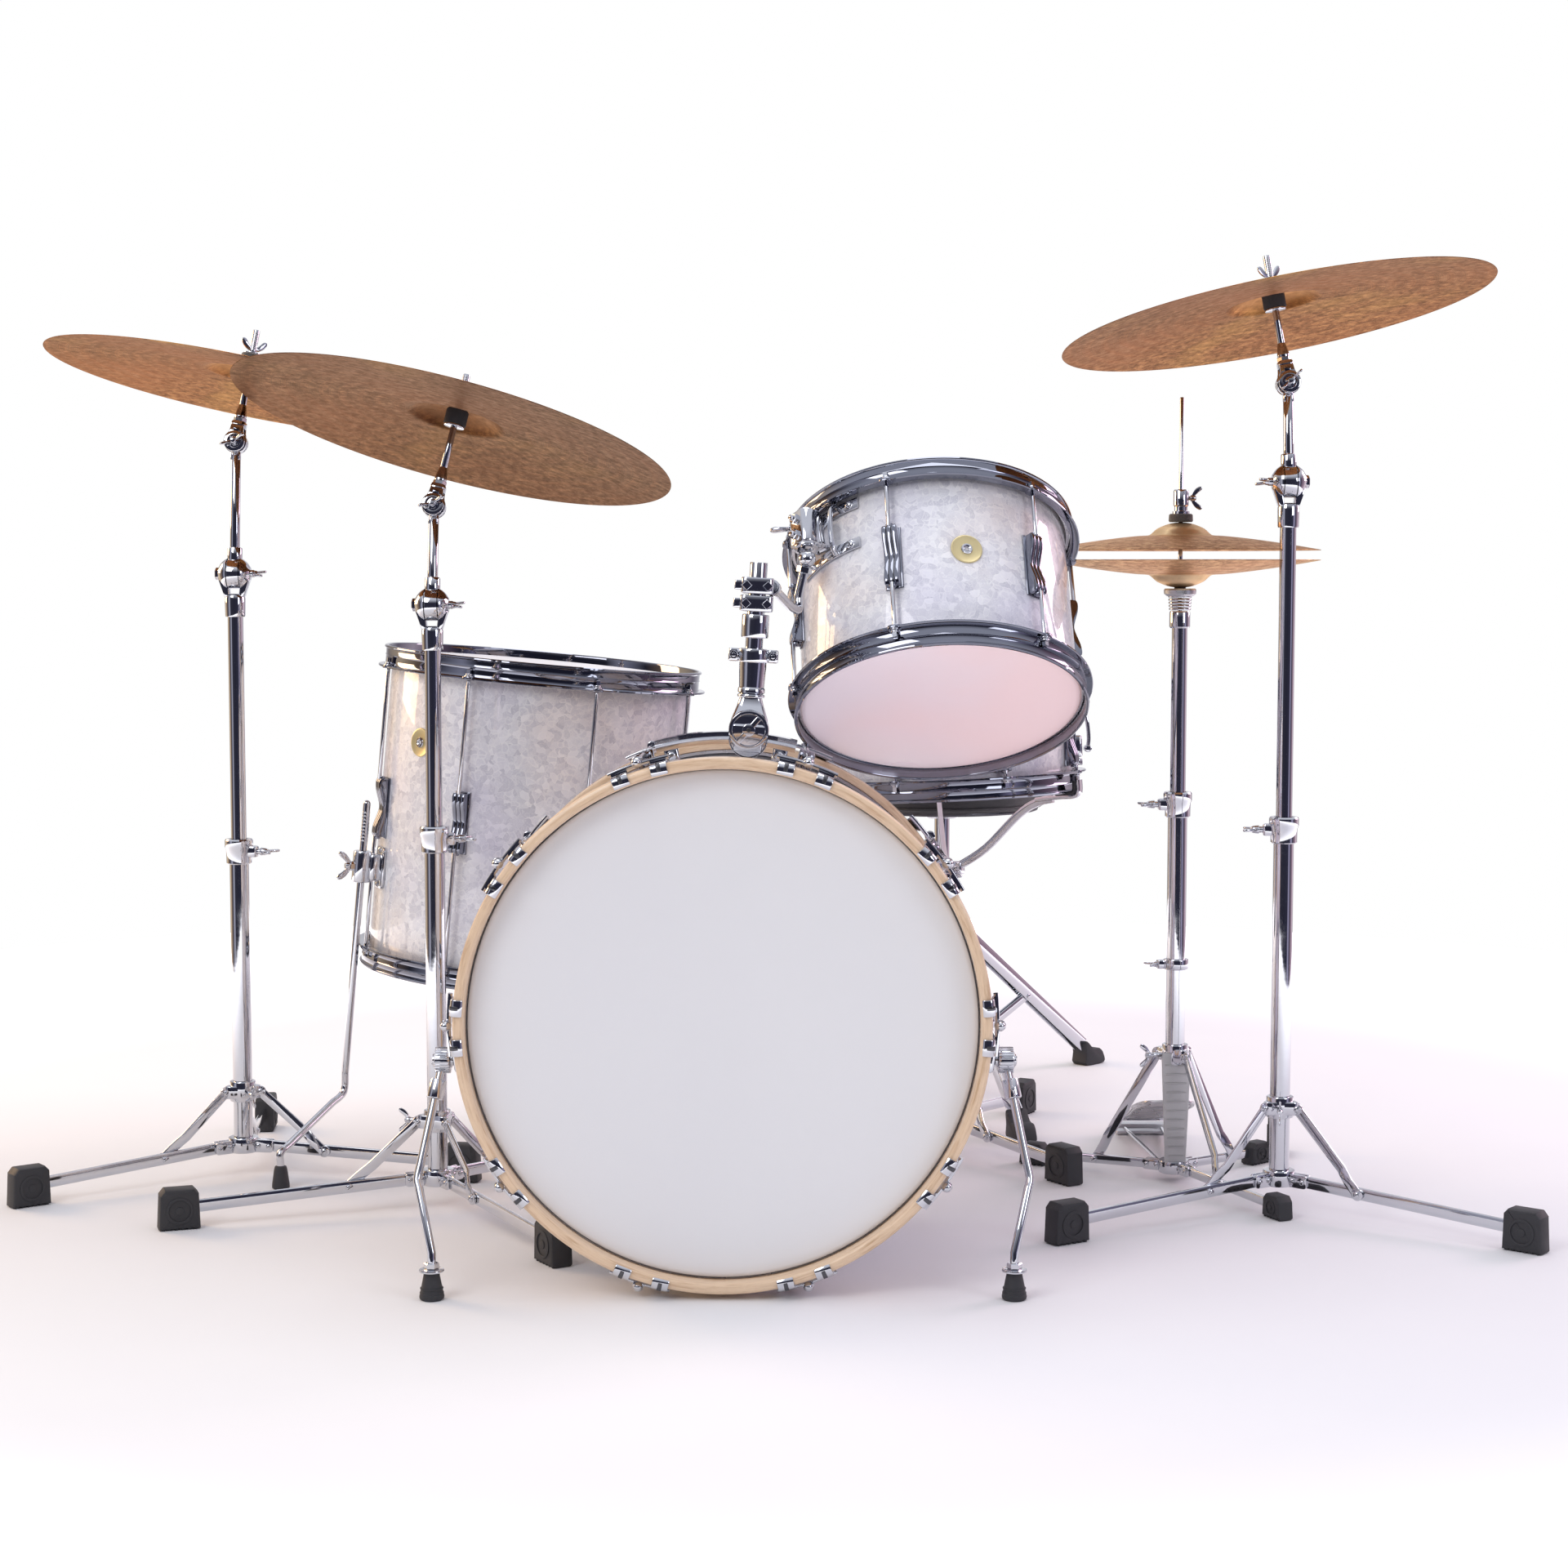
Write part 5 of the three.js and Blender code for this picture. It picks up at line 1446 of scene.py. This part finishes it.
def hi_hat():
    spot = standing(on_floor(joint_at("hat_height")))
    base = Shape()
    tripod(
        base, HAT["legs"], HAT["reach"], HAT["collar"], HAT["clamp"], hub=HAT["hub"],
        bar=HAT["bar"], shoe=HAT["shoe"], wing=180, screw=195,
    )
    shield = [
        (-19, 166), (-17.5, 172), (17.5, 172), (19, 166), (13.5, 24), (11, 19), (-11, 19), (-13.5, 24)
    ]
    base.plate(shield, 11.4, 15.6, 1.2, "frosted", turn(90, "X"))
    for rib in range(11):
        height = 36 + 12 * rib
        half = 12 + (height - 24) * 5 / 140
        base.brick(half * 1.7, 1.4, 1.8, 0.5, "frosted", move(0, -15.8, height))
    base.brick(80, 46, 6, 2.4, "cast_metal", move(0, 312, 3.2))
    base.brick(78, 20, 9, 2.6, "cast_metal", move(0, 322, 7.4))
    for side in (-1, 1):
        base.tube([(side * 14, 8, 20), (side * 26, 300, 7)], 3, "chrome")
    clamp_at(base, HAT["stop"], 190)
    stand_in("hat_stand_base", base, spot)

    tube = Shape()
    inner = TUBE["inner"]
    low, top, seat = HAT["clamp"] - 150, HAT["tube_top"], HAT["seat"]
    tube.lathe([(5.2, low), (inner, low), (inner, top - 22), (5.2, top - 22)], "chrome", sides=40)
    barrel = [(5.2, top - 22), (12, top - 22), (13.4, top - 20), (13.4, top - 2), (12.6, top)]
    tube.lathe(barrel + [(5.2, top)], "chrome", sides=40)
    for ring in range(5):
        z = top + 1 + 4 * ring
        tube.collar(5.2, 15.4 - 0.3 * (4 - ring), z, z + 3.4, "chrome", edge=1.3)
    cup = [
        (5.2, seat - 13), (17, seat - 13), (20.5, seat - 10), (21, seat - 5), (19.5, seat - 3),
        (5.2, seat - 3)
    ]
    tube.lathe(cup, "cast_metal", sides=44)
    tube.lathe([(3.6, seat - 4), (7.4, seat - 4), (7.4, seat + 7), (3.6, seat + 7)], "felt", sides=30)
    stand_in("hat_tube", tube, spot)

    # Both hi-hat cymbals take the lighter bronze: painted warm light.
    lower = Shape()
    cymbal(lower, HAT["radius"], move(0, 0, HAT["rim"] - DOME) @ turn(180, "X"), "hat_bronze")
    make("fine_hat_bottom_cymbal", lower, spot, "hat_column", "bronze", "hat_bottom_cymbal")
    upper = Shape()
    bell = HAT["rim"] + HAT["open"] + DOME
    cymbal(upper, HAT["radius"], move(0, 0, bell), "hat_bronze")
    make("fine_hat_top_cymbal", upper, spot, "hat_rod", "bronze", "hat_top_cymbal")

    pull = Shape()
    pull.peg(2.9, HAT["rod_low"], HAT["rod_top"], "chrome", edge=1.4, sides=20)
    pull.lathe(
        [
            (3, bell - 12), (11, bell - 12), (12, bell - 11), (12, bell - 4.6), (10.6, bell - 2.8),
            (3, bell - 2.8)
        ],
        "felt", sides=36
    )
    pull.nut(8, bell - 18, bell - 12, "chrome")
    pull.lathe(
        [
            (3, bell + 2.4), (14.6, bell + 2.4), (15.6, bell + 4), (15.2, bell + 11.6), (13.4, bell + 13),
            (3, bell + 13)
        ],
        "felt", sides=40
    )
    sleeve = [
        (3, bell + 13), (11, bell + 13), (11, bell + 16), (8.4, bell + 17), (8.4, bell + 22),
        (9.8, bell + 24), (9.8, bell + 42), (8.6, bell + 44), (3, bell + 44)
    ]
    pull.lathe(sleeve, "chrome", sides=36)
    pull.peg(2.6, 8, 16, "chrome", move(0, 0, bell + 33) @ turn(90, "Y"), edge=0.4)
    pull.wing_nut("chrome", move(12, 0, bell + 33) @ turn(90, "Y"), 15)
    make("fine_hat_rod", pull, spot, "hat_rod", "chrome", "hat_rod")
    board = Shape()
    pedal_board(board, HAT["heel"], HAT["toe"], HAT["board"])
    stand_in("hat_footboard", board, spot, "cast_metal")


def clamp_at(shape, height, facing):
    """A second stop on the lower tube: a split ring with a wing screw."""
    radius = TUBE["outer"] + 4
    shape.collar(TUBE["outer"] - 0.5, radius, height - 7, height + 7, "chrome", edge=1.6)
    spot = turn(facing) @ move(radius - 1, 0, height)
    shape.brick(13, 12, 12, 2, "chrome", spot @ move(4))
    shape.wing_nut("chrome", spot @ move(9) @ turn(90, "Y") @ turn(90), 15.3)


def pedal_board(shape, heel, toe, width):
    """A cast footboard with a rounded toe, a border, cross ribs and a heel hinge barrel."""
    heel, toe = Vector(heel), Vector(toe)
    length = (toe - heel).length
    place = standing(heel, (toe - heel).cross(ACROSS) * -1, toe - heel)
    half = width / 2
    edge = [
        (2, -half * 0.92), (length * 0.3, -half * 0.86), (length * 0.72, -half),
        (length - 16, -half * 0.86), (length, -half * 0.45)
    ]
    outline = flat_curve(both_ends(edge), 4, closed=True)
    shape.plate(outline, -2.6, 2.6, 1.2, "cast_metal", place)
    border = [(x, y, 2.4) for x, y in shrink(outline, 4)]
    shape.tube(border, 1.7, "cast_metal", place, sides=8, joined=True)
    for rib in range(9):
        x = length * (0.12 + 0.085 * rib)
        wide = 2 * half * (0.66 + 0.1 * math.sin(rib / 8 * math.pi))
        shape.brick(5, wide, 2.4, 0.8, "cast_metal", place @ move(x, 0, 3.2))
    shape.peg(5.5, -half * 0.8, half * 0.8, "chrome", place @ turn(90, "X"), edge=1)


# ---------------------------------------------------------------- kick pedal and throne
KICK = {
    "y": 446, "axle": 212, "width": 124, "heel": 742, "toe": 480, "back": 35, "shaft": 186,
    "heel_rise": 24, "toe_rise": 98, "board": 84
}


def kick_pedal():
    axle = joint_at("kick_beater_swing")
    spot = standing(on_floor(axle))
    base = Shape()
    base.brick(KICK["width"], 60, 8, 2.4, "cast_metal", move(0, 0, 4))
    half = KICK["width"] / 2
    for side in (-1, 1):
        upright = [
            (-12, 7), (12, 7), (10, 40), (8, 120), (11, 196), (11, 214), (6, 226), (-6, 226), (-11, 214),
            (-11, 196), (-8, 120), (-10, 40)
        ]
        outline = flat_curve(upright, 3, closed=True)
        base.plate(
            outline, -4.5, 4.5, 1.6, "chrome",
            move(side * (half - 4.5), 0, 0) @ turn(90, "Z") @ turn(90, "X")
        )
        base.peg(
            10, 0, 4, "chrome", move(side * half - side * 0.4, 0, KICK["axle"]) @ turn(side * 90, "Y"),
            edge=1.2
        )
        base.tube([(side * 30, 20, 5), (side * 30, KICK["heel"] - KICK["y"], 5)], 3, "chrome")
        base.tube(coil(side * (half - 4.5), 30, 60, 150), 1.1, "steel_wire", sides=6)
    base.brick(90, 46, 10, 2.6, "cast_metal", move(0, KICK["heel"] - KICK["y"] + 16, 6))
    base.brick(34, 20, 14, 2.4, "cast_metal", move(0, -28, 12))
    stand_in("kick_pedal_frame", base, spot, "chrome")

    board = Shape()
    heel = (0, KICK["heel"] - KICK["y"], KICK["heel_rise"])
    toe = (0, KICK["toe"] - KICK["y"], KICK["toe_rise"])
    pedal_board(board, heel, toe, KICK["board"])
    stand_in("kick_footboard", board, spot, "cast_metal")

    beater = Shape()
    inner = half - 9.5
    across = turn(90, "Y")
    beater.peg(6, -inner, inner, "chrome", across, edge=0.8)
    cam = [(0, -7), (21, -7), (22, -6), (22, -4.6), (19, -4), (19, 4), (22, 4.6), (22, 6), (21, 7), (0, 7)]
    beater.lathe(cam, "cast_metal", across, 48)
    beater.brick(15, 15, 24, 2.4, "cast_metal", move(0, 0, 12))
    beater.peg(3.9, 10, KICK["shaft"] - 8, "chrome", edge=0.6)
    ends = [(0, -23), (14, -23), (18.6, -20.6), (20, -16), (20, 15), (18.4, 20.4), (14, 23), (0, 23.4)]
    beater.lathe(ends, "beater_felt", move(0, 0, KICK["shaft"]) @ turn(90, "X"), 48)
    beater.collar(3.8, 7, KICK["shaft"] - 27, KICK["shaft"] - 19, "chrome", edge=1)
    lean = KICK["back"]
    stand_in("kick_beater", beater, standing(axle) @ turn(-lean, "X"), "felt")


def coil(x, y, low, high):
    """A return spring's wire, hung beside an upright."""
    turns = 16
    steps = turns * 8
    made = []
    for i in range(steps + 1):
        spin = math.tau * i / 8
        made.append((x + 5.2 * math.cos(spin), y - 8 + 5.2 * math.sin(spin), low + (high - low) * i / steps))
    return made


THRONE = {"legs": (285, 45, 165), "reach": 360, "collar": 262, "tube_top": 330, "seat": 155, "low": 440}


def throne():
    spot = standing(on_floor(joint_at("seat_height")))
    base = Shape()
    top, collar = THRONE["tube_top"], THRONE["collar"]
    pipe = [(12.2, 60), (15, 40), (15, top - 1), (14.4, top), (12.2, top)]
    base.lathe(pipe, "chrome", sides=44)
    base.peg(12.4, 40, 62, "dark_steel", edge=0.5)
    clamp_collar(base, top - 30, top, 23, 200, 24, bore=15)
    base.collar(14.6, 21, collar - 12, collar + 12, "chrome", edge=2)
    base.collar(14.6, 20, 42, 62, "chrome", edge=2)
    for angle in THRONE["legs"]:
        place = turn(angle)
        reach = THRONE["reach"]
        for side in (-1, 1):
            strip = [(24, side * 6.5, collar), (reach - 22, side * 6.5, 34)]
            base.sweep(rounded(2.6, 22, 1, 2), strip, "chrome", side=BACK, place=place)
            prop = [(22, side * 3, 53), (reach * 0.55, side * 3, 128)]
            base.sweep(rounded(2.4, 13, 1, 2), prop, "chrome", side=BACK, place=place)
        for spot_x, spot_z in ((22, collar), (22, 53), (reach * 0.55, 128)):
            base.peg(4, -10, 10, "chrome", place @ move(spot_x, 0, spot_z) @ turn(90, "X"), edge=1)
        base.brick(18, 11, 22, 2, "chrome", place @ move(18, 0, collar))
        base.brick(16, 9, 16, 2, "chrome", place @ move(17, 0, 53))
        shoe = [(-22, 1), (22, 1), (21, 16), (12, 25.5), (-4, 27), (-20, 40), (-26, 36), (-23, 20)]
        outline = flat_curve(shoe, 3, closed=True)
        base.plate(outline, -15.5, 15.5, 3, "rubber", place @ move(reach) @ turn(90, "X"))
    stand_in("throne_base", base, spot)
    seat(spot)


def seat(spot):
    """The pan and post in metal, and a padded vinyl cushion with a piped seam on top."""
    low, radius = THRONE["low"], THRONE["seat"]
    under = Shape()
    under.lathe(
        [(0, THRONE["tube_top"] - 150), (11.4, THRONE["tube_top"] - 150), (11.4, low - 14), (0, low - 14)],
        "chrome", sides=36
    )
    dish = [(0, low - 16), (24, low - 16), (30, low - 12), (58, low - 7), (60, low - 2), (0, low - 2)]
    under.lathe(dish, "chrome", sides=48)
    under.peg(radius - 10, low - 2.5, low + 3, "dark_steel", edge=1.5, sides=72)
    make("throne_seat_pan", under, spot, "throne_seat", "chrome")

    pad = Shape()
    around = 72
    spins = [math.tau * step / around for step in range(around)]
    profile = [
        (radius - 14, low + 1), (radius - 4, low + 4), (radius + 0.5, low + 16), (radius + 1.6, low + 38),
        (radius + 0.5, low + 60)
    ]
    profile += [
        (radius - 5, low + 72), (radius - 20, low + 80), (radius - 50, low + 86), (radius - 90, low + 89)
    ]
    loops = []
    for r, z in profile:
        loop = []
        for spin in spins:
            pucker = 0.9 * math.sin(12 * spin) * (1 if low + 10 < z < low + 66 else 0.3)
            loop.append(((r + pucker) * math.cos(spin), (r + pucker) * math.sin(spin), z))
        loops.append(loop)
    loops.append([(12 * math.cos(spin), 12 * math.sin(spin), low + 88) for spin in spins])
    pad.rings(loops, "vinyl")
    for height, swell in ((low + 70.5, radius - 2.6), (low + 8, radius - 1.6)):
        piping = [polar(swell, 360 * s / around, height) for s in range(around)]
        pad.tube(piping, 2.2, "vinyl", sides=8, joined=True)
    cushion = make(
        "throne_cushion", pad, spot, "throne_seat", "seat_vinyl", "throne_seat", sharp=math.radians(80)
    )


# ---------------------------------------------------------------- camera, light and floor
CAMERA = {"from_axle": (0.067, -3.396, 0.588), "down": 4.49, "lens": 62.83}
FLOOR = 2.6
AIM = Vector((0, 0, 0.5))
WALLS = [
    (0.00, (0.95, 0.95, 1.00)),
    (0.08, (0.30, 0.26, 0.25)),
    (0.16, (1.00, 0.78, 0.52)),
    (0.22, (0.35, 0.24, 0.17)),
    (0.28, (0.05, 0.05, 0.07)),
    (0.345, (0.55, 0.55, 0.66)),
    (0.38, (0.04, 0.04, 0.06)),
    (0.50, (0.03, 0.03, 0.05)),
    (0.62, (0.04, 0.04, 0.07)),
    (0.655, (0.50, 0.46, 0.66)),
    (0.70, (0.05, 0.05, 0.08)),
    (0.78, (0.42, 0.28, 0.36)),
    (0.84, (1.00, 0.82, 0.88)),
    (0.91, (0.30, 0.26, 0.32)),
    (1.00, (0.95, 0.95, 1.00)),
]
# Each lamp's name, place, size, power and colour.
LAMPS = [
    ("key", (-2.2, -3.2, 3.0), 2.0, 52, (1.0, 0.98, 0.97)),
    ("fill", (2.8, -2.8, 1.6), 1.2, 16, (0.93, 0.94, 1.0)),
    ("top", (0.2, 0.2, 3.6), 2.2, 38, (1.0, 1.0, 1.0)),
    ("warm_side", (-3.2, 1.2, 1.6), 1.4, 50, (1.0, 0.66, 0.36)),
    ("rose_side", (3.2, 1.4, 1.8), 1.4, 40, (1.0, 0.70, 0.82)),
]


def studio():
    camera = bpy.data.cameras.new("camera")
    camera.lens = CAMERA["lens"]
    camera.sensor_width = 36
    viewer = bpy.data.objects.new("camera", camera)
    bpy.context.scene.collection.objects.link(viewer)
    viewer.location = joint_at("kick_beater_swing") + Vector(CAMERA["from_axle"])
    viewer.rotation_euler = (math.radians(90 - CAMERA["down"]), 0, 0)
    bpy.context.scene.camera = viewer

    bpy.context.scene.view_settings.view_transform = "Standard"
    make_floor()
    make_world()
    for lamp in LAMPS:
        soft_box(*lamp)


def make_floor():
    """A pale round floor that fades to white at its rim, so that no horizon shows."""
    paint = graph("floor_paint", Roughness=0.7, Emission_Color=(1, 1, 1, 1))
    where = paint.node("TexCoord", out="Object")
    distance = paint.node("VectorMath", {0: where}, out=1, operation="LENGTH")
    mottle = paint.node("TexNoise", {"Vector": where, "Scale": 3.0, "Detail": 4.0})
    paint.link(paint.blend(mottle, (0.80, 0.80, 0.82), (0.84, 0.84, 0.85)), "Base Color")
    paint.link(
        paint.ramp(paint.calc("DIVIDE", distance, FLOOR), [(0.50, 0.0), (0.95, 1.0)], True),
        "Emission Strength"
    )
    mesh = bpy.data.meshes.new("floor")
    rim = [polar(FLOOR, 5 * step) for step in range(72)]
    mesh.from_pydata(rim, [], [tuple(range(72))])
    mesh.materials.append(materials["floor_paint"])
    floor = bpy.data.objects.new("floor", mesh)
    bpy.context.scene.collection.objects.link(floor)


def make_world():
    """White to the camera. To the chrome it is a dark room with tall soft windows round it."""
    world = bpy.data.worlds.new("world")
    bpy.context.scene.world = world
    world.use_nodes = True
    tree = world.node_tree

    node, ramp = node_helpers(tree)
    where = node("TexCoord")
    x, y, z = (node("SeparateXYZ", {0: where}, axis) for axis in range(3))
    behind = node("Math", {0: y, 1: -1.0}, operation="MULTIPLY")
    spin = node("Math", {0: x, 1: behind}, operation="ARCTAN2")
    around = node("Math", {0: spin, 1: 1 / math.tau, 2: 0.5}, operation="MULTIPLY_ADD")
    walls = ramp(around, WALLS)
    rise = node("Math", {0: z, 1: 0.5, 2: 0.5}, operation="MULTIPLY_ADD")
    overhead = ramp(rise, [(0.62, (0, 0, 0)), (0.85, (1, 1, 1))])
    room = node("Mix", {0: overhead, 6: walls, 7: (0.75, 0.77, 0.85, 1)}, 2, data_type="RGBA")
    seen = node("LightPath")
    shown = node("Mix", {0: seen, 6: room, 7: (1, 1, 1, 1)}, 2, data_type="RGBA")
    tree.links.new(shown, tree.nodes["Background"].inputs[0])


def soft_box(name, at, size, power, colour):
    light = bpy.data.lights.new(name, "AREA")
    light.shape = "SQUARE"
    light.size = size
    light.energy = power
    light.color = colour
    lamp = bpy.data.objects.new(name, light)
    bpy.context.scene.collection.objects.link(lamp)
    lamp.location = at
    aim = AIM - Vector(at)
    lamp.rotation_euler = aim.to_track_quat("-Z", "Y").to_euler()


make_materials()
kit = drums()
bass_drum(kit["bass"])
rack_tom(kit["tom"])
tom_arm(tom_mount())
floor_tom(kit["floor"])
snare_drum(kit["snare"])
snare_stand()
hi_hat()
for stand_name, stand in STANDS.items():
    cymbal_stand(stand_name, stand)
kick_pedal()
throne()
studio()
